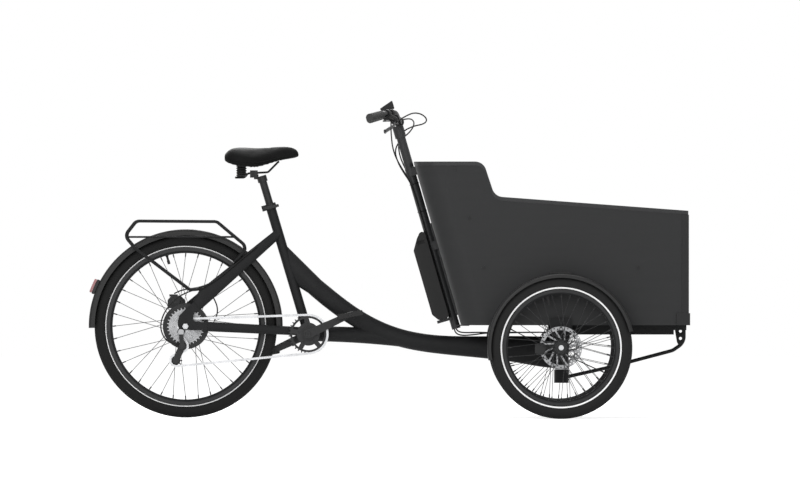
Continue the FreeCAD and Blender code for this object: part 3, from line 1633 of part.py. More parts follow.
def wall_band(name, out, inset):
    """The box's side wall in plan with its round rear corner, square to the leaning back."""
    body = doc.addObject("PartDesign::Body", name)
    length = S.box_front - S.box_back_top + S.box_width
    big = S.box_corner_radius + out
    small = S.box_corner_radius - inset
    corner = S.box_corner_radius
    side = box_half
    corners = [
        (-out, corner - side),
        (corner, -side - out, big, 1),
        (length, -side - out),
        (length, -side + inset),
        (corner, -side + inset),
        (inset, corner - side, small, -1),
    ]
    sketch = draw(body, "XY_Plane", corners)
    pad = body.newObject("PartDesign::Pad", name + "_pad")
    pad.Profile = sketch
    pad.SideType = "Symmetric"
    bind(pad, Length=box_rise * 3)
    return lean_box(body)


def inside_plan(name, inset, length):
    """The space inside the box's walls in plan, square to its leaning back."""
    body = doc.addObject("PartDesign::Body", name)
    small = S.box_corner_radius - inset
    corner = S.box_corner_radius
    side = box_half - inset
    corners = [
        (inset, corner - box_half),
        (corner, -side, small, 1),
        (length, -side),
        (length, side),
        (corner, side),
        (inset, box_half - corner, small, 1),
    ]
    sketch = draw(body, "XY_Plane", corners)
    pad = body.newObject("PartDesign::Pad", name + "_pad")
    pad.Profile = sketch
    pad.SideType = "Symmetric"
    bind(pad, Length=box_rise)
    return lean_box(body)


def leaning_back(name, out, thickness):
    """A slab along the box's leaning back, between the round corners and past both ends of the back."""
    overrun = 1.2
    slab = block(name, thickness, S.box_width - S.box_corner_radius * 2, box_rise * 3, 0, 0, 0)
    return place(slab, S.box_back_bottom + box_lean * overrun - out, S.box_corner_radius - box_half,
                 S.deck_height - box_rise * overrun, (0, -1, 0), lean_angle)


def box_panels():
    """The open cargo box: two sides with their round rear corners, back, front and floor."""
    wall = S.box_panel
    room = doc.addObject("Part::Box", "box_room")
    bind(room, Length=S.box_front - wall + S.box_width, Width=S.box_width * 2, Height=S.box_back_height)
    place(room, -S.box_width, -S.box_width, S.deck_height)
    outline = plate("box_outline", box_outline(S.trim_wall), S.box_width * 1.2)
    side_space = common("box_side_space", outline, room)
    band = wall_band("box_side_band", 0, wall)
    right = common("box_side_right_node", side_space, band)
    keep(right, "box_side_right")
    keep(mirrored("box_side_left_node", right), "box_side_left")
    back = leaning_back("box_back_blank", 0, wall)
    keep(common("box_rear_node", outline, back), "box_rear")
    front = block("box_front_blank", wall, S.box_width, S.box_back_height,
                  S.box_front - wall, 0, S.deck_height)
    keep(common("box_front_node", outline, front), "box_front")
    inner = wall + S.seat_gap
    room_plan = inside_plan("box_inside", inner, S.box_front)
    slab = block("box_floor_slab", S.box_front - inner + S.box_width, S.box_width, S.box_floor_thickness,
                 -S.box_width, 0, S.deck_height)
    keep(common("box_floor_node", slab, room_plan), "box_floor")


def box_trim():
    """U-shaped edging along the top of the box."""
    wall = S.trim_wall
    full = plate("trim_outline", box_outline(0), S.box_width * 1.4)
    below = plate("trim_below", box_outline(S.trim_depth), S.box_width * 1.5)
    strip = cut("trim_strip", full, [below])
    band = wall_band("trim_side_band", wall, S.box_panel + wall)
    right = common("trim_right", strip, band)
    back = leaning_back("trim_back_blank", wall, S.box_panel + wall * 2)
    rear = common("trim_rear", strip, back)
    front = block("trim_front_blank", S.box_panel + wall, S.box_width, S.box_back_height,
                  S.box_front - S.box_panel - wall, 0, S.deck_height)
    ahead = common("trim_front", strip, front)
    blank = fuse("trim_blank", [right, mirrored("trim_left", right), rear, ahead])
    panels = [doc.getObject(name) for name in ("box_side_right_node", "box_side_left_node", "box_rear_node",
                                                "box_front_node")]
    keep(cut("box_trim_node", blank, panels), "box_trim")


def bolt_points():
    """Where the bolt heads lie on a box side, x and z: a row along the back, and one at each bracket."""
    low = S.deck_height + S.bolt_row_low
    high = S.box_back_height - S.bolt_row_high
    points = []
    for z in (high, (high + low) / 2, low):
        back = S.box_back_bottom - box_lean / box_rise * (z - S.deck_height)
        points.append((back + S.bolt_row_ahead, z))
    points.append((S.box_front - 179, low))
    points.append((front_x - 4.7, S.deck_height + 44))
    points.append((S.box_front - 30, S.deck_height + 30))
    return points


def box_fasteners():
    """Bolt heads on both sides of the box and the angles on its front corners."""
    heads = []
    for number, (x, z) in enumerate(bolt_points()):
        heads.append(rod(f"box_bolt_{number}", S.bolt_radius, S.bolt_head, x, -box_half - S.bolt_head, z))
    leg = S.profile_leg
    thin = S.profile_wall
    tall = box_front_top - S.trim_depth - S.seat_gap - S.deck_height
    outer = box_half + thin
    side_leg = block("corner_side_leg", leg + thin, thin, tall, S.box_front - leg, -box_half - thin / 2,
                     S.deck_height)
    front_leg = block("corner_front_leg", thin, leg + thin, tall, S.box_front, (leg - thin) / 2 - box_half,
                      S.deck_height)
    foot_x = S.box_front + S.foot_wall - S.foot_length
    foot_y = S.foot_length / 2 - box_half - S.foot_wall
    foot = block("corner_foot", S.foot_length, S.foot_length, S.foot_height, foot_x, foot_y, S.deck_height)
    hollow_x = S.box_front + thin - S.foot_length * 2
    hollow = block("corner_foot_hollow", S.foot_length * 2, S.foot_length * 2, S.foot_height * 2,
                   hollow_x, S.foot_length - outer, S.deck_height - S.foot_height / 2)
    shoe = cut("corner_shoe", foot, [hollow])
    foot = fuse("front_corner", [side_leg, front_leg, shoe])
    pieces = heads + [foot]
    twins = [mirrored(f"box_fastener_twin_{number}", piece) for number, piece in enumerate(pieces)]
    keep(group("box_fasteners_node", pieces + twins), "box_fasteners")


def hanger_outline():
    """Side outline of the plate that hangs a stub axle below the box."""
    lobe = S.hanger_lobe
    return [
        (front_x - lobe, front_z, lobe, -1),
        (front_x - S.hanger_length / 2, S.deck_height - 12),
        (front_x - S.hanger_length / 2, S.deck_height + S.hanger_above),
        (front_x + S.hanger_length / 2, S.deck_height + S.hanger_above),
        (front_x + S.hanger_length / 2, S.deck_height - 12),
        (front_x + lobe, front_z),
        (front_x, front_z - lobe, lobe, -1),
    ]


# Outline of a plate of the front bracket, ahead of the box front and above the deck
FRONT_GUSSET = ((-44, -6), (-40, -26), (-34, -62), (-28, -74), (-20, -70), (-8, -50), (-5, -6))
# Holes of the front bracket, behind the box front and below the deck
GUSSET_HOLES = ((21.5, 23), (21.5, 49))


def subframe():
    """Rails under the box, cross member, axle hangers with stub axles, and the lower support tube."""
    spread = S.rail_spread / 2
    rail_start = pivot_x - S.rail_behind
    pieces = []
    for name, y in (("right", -spread), ("left", spread)):
        pieces.append(block(f"rail_{name}", S.rail_front - rail_start, S.rail_width, S.rail_height,
                            rail_start, y, pivot_top))
    pieces.append(block("cross_member", S.rail_behind * 2, hanger_side * 2, S.rail_height,
                        pivot_x - S.rail_behind, 0, pivot_top))
    pieces.append(block("front_cross", 46, S.rail_spread + S.rail_width, S.front_cross_height,
                        S.box_front - 50, 0, S.deck_height - S.front_cross_height))
    tip = wheel_y + S.front_hub_half_width + S.front_nut_width + 2
    for name, sign in (("right", -1), ("left", 1)):
        hanger = plate(f"hanger_{name}", hanger_outline(), S.hanger_thickness)
        place(hanger, 0, sign * (hanger_side + S.hanger_thickness / 2), 0)
        stub_length = tip - hanger_side
        start = hanger_side if sign > 0 else -tip
        stub = rod(f"stub_axle_{name}", S.axle_radius, stub_length, front_x, start, front_z)
        shoulder_length = wheel_y - S.front_hub_half_width - hanger_side - 1
        shoulder_start = hanger_side if sign > 0 else -hanger_side - shoulder_length
        shoulder = rod(f"stub_shoulder_{name}", S.axle_radius + 4, shoulder_length,
                       front_x, shoulder_start, front_z)
        nut_start = wheel_y + S.front_hub_half_width + 1
        axle_nut = rod(f"stub_nut_{name}", S.axle_radius + 3, S.front_nut_width, front_x,
                       nut_start if sign > 0 else -nut_start - S.front_nut_width, front_z)
        pieces += [hanger, stub, shoulder, axle_nut]
        gusset = round_corners(plate(f"front_gusset_{name}", FRONT_GUSSET, S.gusset_thickness), 4)
        pieces.append(place(gusset, S.box_front, sign * S.gusset_side, S.deck_height))
    cap = post("lower_cap", S.cap_radius, S.cap_height, pivot_x, 0, cap_bottom)
    pieces.append(cap)
    middle = float(cap_bottom) + 22
    start = float(pivot_x) + 8
    front = float(S.box_front) - 9
    points = [Vector(start, 0, middle - 3), Vector(start + 160, 0, middle + 33),
              Vector(start + 390, 0, middle + 94), Vector(front, 0, middle + 122),
              Vector(front, 0, float(S.deck_height) - 4)]
    pieces.append(solid("support_tube", pipe(points, float(S.support_tube_radius), 45)))
    shaft_hole = post("shaft_hole", S.pivot_shaft_radius + S.running_fit / 2, S.deck_height * 2,
                      pivot_x, 0, 0)
    holes = []
    for number, (back, down) in enumerate(GUSSET_HOLES):
        holes.append(rod(f"gusset_hole_{number}", S.gusset_hole_radius, S.gusset_side * 4, S.box_front - back,
                         -S.gusset_side * 2, S.deck_height - down))
    keep(cut("front_subframe_node", fuse("subframe_welded", pieces), [shaft_hole] + holes), "front_subframe")


def pivot_shaft():
    """The upright pivot that joins the front module to the frame."""
    shaft = post("pivot_bar", S.pivot_shaft_radius, S.deck_height - cap_bottom, pivot_x, 0, cap_bottom)
    washer_top = post("pivot_washer_top", S.head_tube_radius - 4, pivot_top - head_top - S.seat_gap,
                      pivot_x, 0, head_top + S.seat_gap)
    washer_low = post("pivot_washer_low", S.head_tube_radius - 4, head_bottom - cap_top - S.seat_gap,
                      pivot_x, 0, cap_top)
    keep(fuse("pivot_shaft_node", [shaft, washer_top, washer_low]), "pivot_shaft")


def front_mudguards():
    """Front mudguards with the strips that carry them on the box sides."""
    radius = front_z + S.front_guard_gap
    pieces = []
    for name, sign in (("right", -1), ("left", 1)):
        guard = turned(f"front_guard_{name}", guard_section(radius, S.front_guard_width, S.front_guard_lip),
                       S.front_guard_sweep)
        place(guard, front_x, sign * wheel_y, front_z, (0, -1, 0), S.front_guard_start)
        reach = wheel_y + 12 - box_half
        strip = block(f"guard_strip_{name}", 73, reach, 3, front_x - 36, sign * (box_half + reach / 2),
                      front_z + radius + S.seat_gap)
        flange = block(f"guard_flange_{name}", 73, 3, 9, front_x - 36, sign * (box_half + 1.5),
                       front_z + radius + S.seat_gap)
        pieces += [guard, fuse(f"guard_bracket_{name}", [strip, flange])]
    keep(group("front_mudguards_node", pieces), "front_mudguards")


# Caliper outline from the axle, ahead and up
FRONT_CALIPER = ((-92, -22), (-62, -24), (-54, -12), (-54, 10), (-64, 16), (-92, 14))


def front_calipers():
    """Front brake calipers behind the axle, slotted for their discs, on the hanger plates."""
    disc_y = wheel_y - S.front_hub_half_width - S.front_rotor_gap - S.rotor_thickness / 2
    plate_y = hanger_side + S.hanger_thickness
    reach = disc_y + 7 - plate_y
    pieces = []
    for name, sign in (("right", -1), ("left", 1)):
        body = round_corners(plate(f"front_caliper_{name}", FRONT_CALIPER, 14), 4)
        place(body, front_x, sign * disc_y, front_z)
        slot = rod(f"front_caliper_slot_{name}", S.rotor_radius + 1.5, S.rotor_thickness + 1.6, front_x,
                   sign * disc_y - S.rotor_thickness / 2 - 0.8, front_z)
        lug = block(f"front_caliper_lug_{name}", 68, 8, 18, front_x - 82, sign * (plate_y + 4), front_z - 9)
        neck_reach = disc_y - 7 - plate_y
        neck = block(f"front_caliper_neck_{name}", 18, neck_reach, 16, front_x - 82,
                     sign * (plate_y + neck_reach / 2), front_z - 8)
        slotted = cut(f"front_caliper_cut_{name}", body, [slot])
        pieces.append(fuse(f"front_caliper_set_{name}", [slotted, lug, neck]))
    keep(group("front_calipers_node", pieces), "front_calipers")


column_offset = S.column_gap + S.column_radius
lean_cosine = math.cos(math.radians(lean_angle))
lean_tangent = math.tan(math.radians(lean_angle))
column_foot = S.deck_height - S.column_foot_drop
column_top = S.box_back_height + S.column_rise
battery_foot = S.deck_height + S.battery_rise
lower_clamp = S.deck_height + S.lower_clamp_rise
upper_clamp = S.box_back_height - S.upper_clamp_drop


def column_x(z):
    """Where the column's axis lies at a height."""
    return S.box_back_bottom - (as_size(z) - S.deck_height) * lean_tangent - column_offset / lean_cosine


def on_column(thing, z, y=0):
    """Stands an object on the column's axis at a height, leaned like the column."""
    return place(thing, column_x(z), y, z, (0, -1, 0), lean_angle)


def beside_column(z, ahead, up):
    """The point (x, z) that lies ahead of the column's axis and up it from a height, in the column's lean."""
    lean_sine = lean_tangent * lean_cosine
    x = column_x(z) + as_size(ahead) * lean_cosine - as_size(up) * lean_sine
    return x, as_size(z) + as_size(ahead) * lean_sine + as_size(up) * lean_cosine


bar_x = column_x(column_top) + 3
bar_z = column_top + 22


# Where the hoses and the display's lead run down the column, ahead of its axis and to the left
HOSE_AHEAD = -3
HOSE_SIDE = 21.8
LEAD_AHEAD = -8.6
LEAD_SIDE = -20.3


def dock_block(name, ahead, length, width, y):
    """A block of the battery's dock below the battery, leaned like the column."""
    x, z = beside_column(battery_foot, ahead, -S.dock_thickness - S.seat_gap)
    brick = block(name, length, width, S.dock_thickness, x, y, z)
    return place(brick, x, as_size(y) - as_size(width) / 2, z, (0, -1, 0), lean_angle)


def steering_column():
    """Column behind the box with its clamps, foot, battery dock and the stem that holds the bar."""
    length = (column_top - column_foot) / lean_cosine
    tube = on_column(post("column_tube", S.column_radius, length), column_foot)
    pieces = [tube]
    for number, z in enumerate((lower_clamp, upper_clamp)):
        jaw = doc.addObject("Part::Box", f"column_jaw_{number}")
        bind(jaw, Length=column_offset, Width=S.clamp_width, Height=S.clamp_height)
        pieces.append(on_column(jaw, z, -S.clamp_width / 2))
        band = post(f"column_band_{number}", S.column_radius + S.clamp_wall, S.clamp_height)
        pieces.append(on_column(band, z))
    spine = doc.addObject("Part::Box", "column_spine")
    bind(spine, Length=column_offset, Width=S.spine_width, Height=S.battery_length)
    pieces.append(on_column(spine, battery_foot, -S.spine_width / 2))
    foot_start = column_x(S.deck_height) + 3
    foot = block("column_foot", S.box_back_bottom + 30 - foot_start, 60, 4, foot_start, 0, S.deck_height - 4)
    dock_reach = S.battery_depth - 10
    dock = dock_block("battery_dock", -S.battery_front - dock_reach, dock_reach, S.battery_width - 24, 0)
    neck = dock_block("battery_dock_neck", -S.battery_front, S.battery_front, S.dock_neck, 0)
    plug = dock_block("display_plug", -S.battery_front, 6.5, 8, LEAD_SIDE)
    stem = on_column(post("stem_sleeve", S.column_radius + 4, 44), column_top - 34)
    clamp = rod("bar_clamp", S.bar_radius + 7, 48, bar_x, -24, bar_z)
    pieces += [foot, dock, neck, plug, stem, clamp]
    bore = on_column(post("column_bore", S.column_radius - S.column_wall, length - S.column_radius),
                     column_foot)
    hole = rod("bar_hole", S.bar_radius + S.running_fit, 60, bar_x, -30, bar_z)
    keep(cut("steering_column_node", fuse("column_welded", pieces), [bore, hole]), "steering_column")


def bar_points(sign):
    """Corner points of one half of the handlebar, from the stem outward."""
    half = float(S.bar_half_width)
    run = float(S.grip_length) * math.cos(math.radians(float(S.bar_sweep)))
    back = float(S.grip_length) * math.sin(math.radians(float(S.bar_sweep)))
    x = float(bar_x)
    z = float(bar_z)
    return [
        Vector(x, 0, z),
        Vector(x, sign * 60, z),
        Vector(x - 14, sign * 124, z + 32),
        Vector(x - 58, sign * (half - run), z + 26),
        Vector(x - 58 - back, sign * half, z + 13),
    ]


def handlebar():
    """Swept handlebar and its two grips."""
    radius = float(S.bar_radius)
    halves = []
    grips = []
    for sign in (-1, 1):
        points = bar_points(sign)
        halves.append(pipe(points, radius, 60))
        along = (points[-1] - points[-2]).normalize()
        start = points[-1] - along * (float(S.grip_length) - 14)
        end = points[-1] + along * 3
        sleeve = bar_between(start, end, float(S.grip_radius))
        grips.append(sleeve.cut(bar_between(start, points[-1] + along * 0.05, radius + float(S.running_fit))))
    keep(solid("handlebar_node", halves[0].fuse(halves[1]).removeSplitter()), "handlebar")
    keep(solid("grips_node", Part.makeCompound(grips)), "grips")


def lever_frame(sign):
    """Pivot, blade tip and bar point of a brake lever."""
    x = float(bar_x)
    z = float(bar_z)
    points = bar_points(sign)
    along = (points[3] - points[2]).normalize()
    seat = points[3] - along * 34
    pivot = Vector(x - 12, seat.y, z + 2)
    tip = Vector(x - 50, sign * (abs(seat.y) + 122), z - 34)
    return pivot, tip, seat, along


def brake_levers():
    """Hinged brake levers, each a tapered blade with a pivot eye."""
    for label, sign in (("brake_lever_right", -1), ("brake_lever_left", 1)):
        pivot, tip = lever_frame(sign)[:2]
        axis = lever_axis(sign)
        bend = pivot + (tip - pivot) * 0.35 + Vector(6, 0, -4)
        blade = pipe([pivot, bend, tip], 4, 60)
        knob = Part.makeSphere(5, tip)
        eye = Part.makeCylinder(8, 10, pivot - axis * 5, axis)
        hole = Part.makeCylinder(3 + float(S.running_fit), 20, pivot - axis * 10, axis)
        keep(solid(label + "_node", blade.fuse([knob, eye]).cut(hole)), label)


def lever_axis(sign):
    """Direction of a brake lever's hinge: turning about it brings the blade to the grip."""
    pivot, tip = lever_frame(sign)[:2]
    blade = (tip - pivot).normalize()
    points = bar_points(sign)
    grip = points[-2] + (points[-1] - points[-2]) * 0.6
    pull = (grip - tip).normalize()
    return blade.cross(pull).normalize()


def controls():
    """Lever clamps with hinge pins, the shifter pod and the display on its bracket."""
    radius = float(S.bar_radius)
    pieces = []
    for sign in (-1, 1):
        pivot, _, seat, along = lever_frame(sign)
        axis = lever_axis(sign)
        band = Part.makeCylinder(radius + 4, 16, seat - along * 8, along)
        hub = pivot - axis * 9
        body = bar_between(seat, pivot - axis * 8, 7)
        cheek = Part.makeCylinder(8, 3, pivot - axis * 8.4, axis)
        pin = Part.makeCylinder(3, 14, hub, axis)
        hole = Part.makeCylinder(radius + float(S.running_fit), 60, seat - along * 30, along)
        clear = Part.makeCylinder(9, 10.6, pivot - axis * 5.3, axis)
        pieces.append(band.fuse([body, cheek]).cut([hole, clear]).fuse(pin))
    pieces.append(display())
    pieces.append(shifter_pod())
    keep(solid("cockpit_controls_node", Part.makeCompound(pieces)), "cockpit_controls")


def edges_along(shape, direction):
    """The edges of a shape that run along a direction."""
    return [edge for edge in shape.Edges if abs(edge.tangentAt(edge.FirstParameter).dot(direction)) > 0.9]


def display():
    """Wedge shaped display on a bracket that clamps round the bar beside the stem."""
    radius = float(S.bar_radius)
    at = spot(bar_x, -S.display_side, bar_z)
    band = Part.makeCylinder(radius + 4, 14, at - Vector(0, 7, 0), Vector(0, 1, 0))
    tilt = float(S.display_tilt)
    long, thick, wide = float(S.display_length), float(S.display_thickness), float(S.display_width)
    outline = ((0, 0), (long, 0), (long - 9, -thick), (long - 18, -thick), (0, -thick / 3), (0, 0))
    side = Part.makePolygon([Vector(along, -wide / 2, up) for along, up in outline])
    panel = Part.Face(side).extrude(Vector(0, wide, 0))
    panel = panel.makeFillet(3, edges_along(panel, Vector(0, 1, 0)))
    panel.translate(Vector(-long / 2, 0, thick / 2))
    panel.rotate(Vector(), Vector(0, 1, 0), -tilt)
    heel = Rotation(Vector(0, 1, 0), -tilt).multVec(Vector(-long / 2, 0, thick / 2))
    middle = spot(bar_x - S.display_back, -S.display_side, bar_z + S.display_up) - heel
    panel.translate(middle)
    arm = bar_between(at, middle, 5.5)
    hole = Part.makeCylinder(radius + float(S.running_fit), 40, at - Vector(0, 20, 0), Vector(0, 1, 0))
    return band.fuse([panel, arm]).cut(hole)


def shifter_seat():
    """Where the shifter sits on the bar, the bar's direction there, and the shifter's hinge point."""
    points = bar_points(-1)
    along = (points[3] - points[2]).normalize()
    seat = points[2] + along * 36
    down = Vector(0, 0, -1)
    hinge = seat + down * 26 + Vector(8, 0, 0)
    return seat, along, hinge


# Shifter body: length, width and height, and how far it reaches ahead of its hinge
POD = (34, 25, 32)
POD_AHEAD = -1


def shifter_pod():
    """Shifter body under the bar, with the pin that its lever turns on."""
    seat, along, hinge = shifter_seat()
    radius = float(S.bar_radius)
    band = Part.makeCylinder(radius + 4, 14, seat - along * 7, along)
    length, width, height = POD
    body = Part.makeBox(length, width, height, hinge + Vector(POD_AHEAD - length, -width / 2 - 1, 1))
    body = body.makeFillet(6, edges_along(body, Vector(0, 1, 0)))
    neck = bar_between(seat, hinge + Vector(0, 0, 6), 6)
    pin = Part.makeCylinder(3, 9, hinge - Vector(0, 0, 6), Vector(0, 0, 1))
    hole = Part.makeCylinder(radius + float(S.running_fit), 80, seat - along * 40, along)
    return band.fuse([body, neck, pin]).cut(hole)


def shifter_lever():
    """Thumb lever below the shifter body."""
    hinge = shifter_seat()[2]
    eye = Part.makeCylinder(9, 5, hinge - Vector(0, 0, 4.3), Vector(0, 0, 1))
    reach = hinge + Vector(-30, -8, -1.8)
    blade = bar_between(hinge + Vector(0, 0, -1.8), reach, 2)
    pad = Part.makeCylinder(6, 5, reach - Vector(0, 0, 2.5), Vector(0, 0, 1))
    hole = Part.makeCylinder(3 + float(S.running_fit), 20, hinge - Vector(0, 0, 10), Vector(0, 0, 1))
    keep(solid("shifter_lever_node", eye.fuse([blade, pad]).cut(hole)), "shifter_lever")


def battery():
    """Battery pack behind the column, hollowed to sit round it."""
    front = -S.battery_front
    depth = S.battery_depth
    length = S.battery_length
    outline = [
        (front, 0),
        (front, length),
        (front - depth * 0.6, length - 40),
        (front - depth, length - 78),
        (front - depth, 26),
        (front - depth + 18, 0),
    ]
    case = round_corners(plate("battery_case", outline, S.battery_width), S.battery_bend)
    on_column(case, battery_foot)
    groove = on_column(post("battery_groove", S.column_radius + S.battery_clearance, length * 2),
                       battery_foot - length / 2)
    x, z = beside_column(battery_foot, front - 36, length - 62)
    recesses = []
    for name, side_y in (("right", -S.battery_width / 2), ("left", S.battery_width / 2)):
        recess = block(f"battery_recess_{name}", 26, S.battery_recess * 2, 12, x, side_y, z)
        recesses.append(place(recess, x, side_y - S.battery_recess, z, (0, -1, 0), lean_angle))
    keep(cut("battery_node", case, [groove] + recesses), "battery")


box_panels()
box_trim()
box_fasteners()
subframe()
pivot_shaft()
front_mudguards()
front_calipers()
steering_column()
handlebar()
brake_levers()
controls()
shifter_lever()
battery()

# Cables and hoses

CABLE_RADIUS = 2.5


def cable(name, points):
    """One cable along its points, with every bend as large as its runs allow."""
    corners = [Vector(*point) for point in points]
    bends = [edge.Curve.Radius for edge in route(corners).Edges if hasattr(edge.Curve, "Radius")]
    print(f"{name}: least bend radius {min(bends):.0f} mm")
    return pipe(corners, CABLE_RADIUS)


# Gear cable and rear brake hose along the seat stays, and the motor lead between the left stays
GEAR_ROUTE = ((-470, -50.5, 612), (-520, -58.5, 572), (-570, -66.5, 528), (-622, -76.5, 488),
              (-675, -86, 462), (-728, -90, 446), (-773, -92, 415), (-806, -92, 368), (-816, -90, 322),
              (-800, -85, 281), (-771, -79, 264), (-750, -77, 258))
BRAKE_ROUTE = ((-470, 50.5, 612), (-520, 58.5, 572), (-570, 66.5, 528), (-622, 76.5, 488), (-672, 83, 466),
               (-716, 78, 460), (-748, 68, 454), (-768, 64, 443))
MOTOR_ROUTE = ((-634, 72, 440), (-618, 72, 412), (-612, 72, 384), (-616, 72, 362), (-624, 72, 345))


def frame_cables():
    """Gear cable, rear brake hose and motor lead on the rear frame."""
    runs = [solid("gear_cable", cable("gear cable", GEAR_ROUTE)),
            solid("rear_brake_hose", cable("rear brake hose", BRAKE_ROUTE))]
    lead = solid("motor_lead", cable("motor lead", MOTOR_ROUTE))
    runs.append(cut("motor_lead_trimmed", lead, [doc.getObject("stay_tubes")]))
    keep(group("frame_cables_node", runs), "frame_cables")


def down_column(z, ahead, y):
    """A point beside the column at a height along it."""
    x, height = beside_column(z, ahead, 0)
    return float(x), y, float(height)


COLUMN_RUN_TOP = 760
COLUMN_RUN_STEP = 52
COLUMN_RUN_WEAVE = 0.5


def along_column(ahead, y, foot):
    """Points that follow the column down to a height, weaving a little as a clipped hose does."""
    points = []
    count = int((COLUMN_RUN_TOP - foot) / COLUMN_RUN_STEP) + 1
    for number in range(count):
        height = COLUMN_RUN_TOP - (COLUMN_RUN_TOP - foot) * number / (count - 1)
        points.append(down_column(height, ahead + COLUMN_RUN_WEAVE * (number % 2), y))
    return points


# Runs of the hoses under the box, on to the pivot
UNDER_RIGHT = ((239, 21.4, 322), (250, 20, 306), (278, 15, 303), (322, 10, 305), (368, 8, 303), (428, 8, 305),
               (486, 8, 304), (540, 8, 305))
UNDER_LEFT = ((233.5, 20, 322), (241, 17, 300), (264, 9, 293), (302, -2, 296), (345, -7, 302), (390, -8, 304),
              (440, -8, 303), (490, -8, 305), (540, -8, 305))


def steering_cables():
    """Hoses from the levers and the display's lead down the column; the hoses run on under the box."""
    right = [(38, -176, 1062), (62, -160, 1078), (92, -128, 1090), (121, -88, 1084), (139, -44, 1066),
             (128, 2, 1050), (88, 30, 1043), (50, 40, 1024), (35, 38, 984), (38, 32, 944), (53, 26, 903),
             down_column(856, -5.5, 22.2), down_column(808, -3.4, 22)]
    left = [(36, 176, 1062), (58, 156, 1070), (84, 122, 1070), (94, 80, 1052), (78, 48, 1022), (40, 28, 992),
            (22, 14, 956), (31, 13, 918), (50, 16, 882), down_column(846, -12.6, 18.6),
            down_column(804, -9.4, 20)]
    lead = [(6.03, -48, 1099.62), (8.3, -48, 1079.8), (9, -44, 1052), (9, -38, 1024), (11, -32, 996),
            (15, -27, 964), (26, -23, 930), (46, -19, 894), down_column(850, -12.8, -18.2),
            down_column(806, -9.4, -19.8)]
    lead += along_column(LEAD_AHEAD, LEAD_SIDE, float(battery_foot))
    right += along_column(HOSE_AHEAD, HOSE_SIDE, 356) + list(UNDER_RIGHT)
    left += along_column(LEAD_AHEAD, -LEAD_SIDE, 356) + list(UNDER_LEFT)
    runs = [cable("right brake hose", right), cable("left brake hose", left), cable("display lead", lead)]
    keep(solid("steering_cables_node", Part.makeCompound(runs)), "steering_cables")


def crossing_cables():
    """The short lengths that cross from the turning front to the beam."""
    runs = []
    for y in (-8, 8):
        runs.append(cable("crossing cable", ((540.4, y, 305), (552, y, 304.6), (566, y, 301), (580, y, 294),
                                             (588, y, 289.5))))
    keep(solid("crossing_cables_node", Part.makeCompound(runs)), "crossing_cables")


frame_cables()
steering_cables()
crossing_cables()

doc.recompute()


def check_and_write():
    """Stops on any failed object, then writes one file for each sub-part."""
    failed = [item.Name for item in doc.Objects if "Invalid" in item.State or "Error" in item.State]
    if failed:
        raise RuntimeError(f"failed objects: {failed}")
    os.makedirs("parts", exist_ok=True)
    for thing in subparts:
        shape = thing.Shape
        if shape.isNull() or not shape.isValid():
            raise RuntimeError(f"{thing.Label} has no valid shape")
        shape.exportStep(f"parts/{thing.Label}.step")


check_and_write()
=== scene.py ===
import math

import bmesh
import bpy
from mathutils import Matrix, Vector


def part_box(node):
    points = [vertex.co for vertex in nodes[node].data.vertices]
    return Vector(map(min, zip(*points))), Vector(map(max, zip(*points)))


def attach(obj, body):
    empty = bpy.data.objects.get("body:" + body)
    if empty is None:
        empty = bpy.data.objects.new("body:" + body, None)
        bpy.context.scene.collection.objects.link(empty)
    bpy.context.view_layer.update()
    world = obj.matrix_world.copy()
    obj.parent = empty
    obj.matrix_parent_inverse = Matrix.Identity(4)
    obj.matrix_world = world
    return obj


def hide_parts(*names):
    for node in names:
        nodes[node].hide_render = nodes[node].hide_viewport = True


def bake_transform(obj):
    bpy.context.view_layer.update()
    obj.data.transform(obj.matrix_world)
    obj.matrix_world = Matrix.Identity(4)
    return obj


# Cargo tricycle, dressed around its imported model. Metres, +X forward, +Y left, +Z up.

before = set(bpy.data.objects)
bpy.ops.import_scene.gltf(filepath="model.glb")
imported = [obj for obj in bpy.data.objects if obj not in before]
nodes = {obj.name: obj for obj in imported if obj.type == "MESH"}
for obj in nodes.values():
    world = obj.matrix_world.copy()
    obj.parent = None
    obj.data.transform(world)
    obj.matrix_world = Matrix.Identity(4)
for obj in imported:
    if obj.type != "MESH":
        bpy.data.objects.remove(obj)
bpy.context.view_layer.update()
scene = bpy.context.scene
scene.view_settings.view_transform = "Standard"


# Camera, square on from the right side and far away

VIEW_X = 0.0411
VIEW_Z = 0.619
VIEW_WIDTH = 2.8624
VIEW_DISTANCE = 45
CLIP_DISTANCE = 180
SENSOR_WIDTH = 36


def make_camera():
    """The photograph's camera."""
    data = bpy.data.cameras.new("camera")
    data.sensor_width = SENSOR_WIDTH
    data.lens = SENSOR_WIDTH * VIEW_DISTANCE / VIEW_WIDTH
    data.clip_end = CLIP_DISTANCE
    camera = bpy.data.objects.new("camera", data)
    camera.location = (VIEW_X, -VIEW_DISTANCE, VIEW_Z)
    camera.rotation_euler = (math.pi / 2, 0, 0)
    scene.collection.objects.link(camera)
    scene.camera = camera


# Shader graphs


class Graph:
    """A node tree, built one node at a time."""

    def __init__(self, tree):
        self.tree = tree
        self.tree.nodes.clear()

    def node(self, kind, values=(), **settings):
        """A node with its settings, and its inputs set or linked by name or number."""
        made = self.tree.nodes.new("ShaderNode" + kind)
        for key, value in settings.items():
            setattr(made, key, value)
        for key, value in dict(values).items():
            self.feed(made.inputs[key], value)
        return made

    def feed(self, socket, value):
        """Sets a socket to a value, or links it to another socket."""
        if isinstance(value, bpy.types.NodeSocket):
            self.tree.links.new(value, socket)
        else:
            socket.default_value = value

    def math(self, operation, first, second=0.0):
        """The result of a Math node."""
        return self.node("Math", {0: first, 1: second}, operation=operation).outputs[0]

    def looked_at(self):
        """1 for rays that show the surroundings themselves, 0 for rays that only gather light."""
        path = self.node("LightPath").outputs
        seen = self.math("MAXIMUM", path["Is Camera Ray"], path["Is Glossy Ray"])
        return self.math("MAXIMUM", seen, path["Is Transmission Ray"])


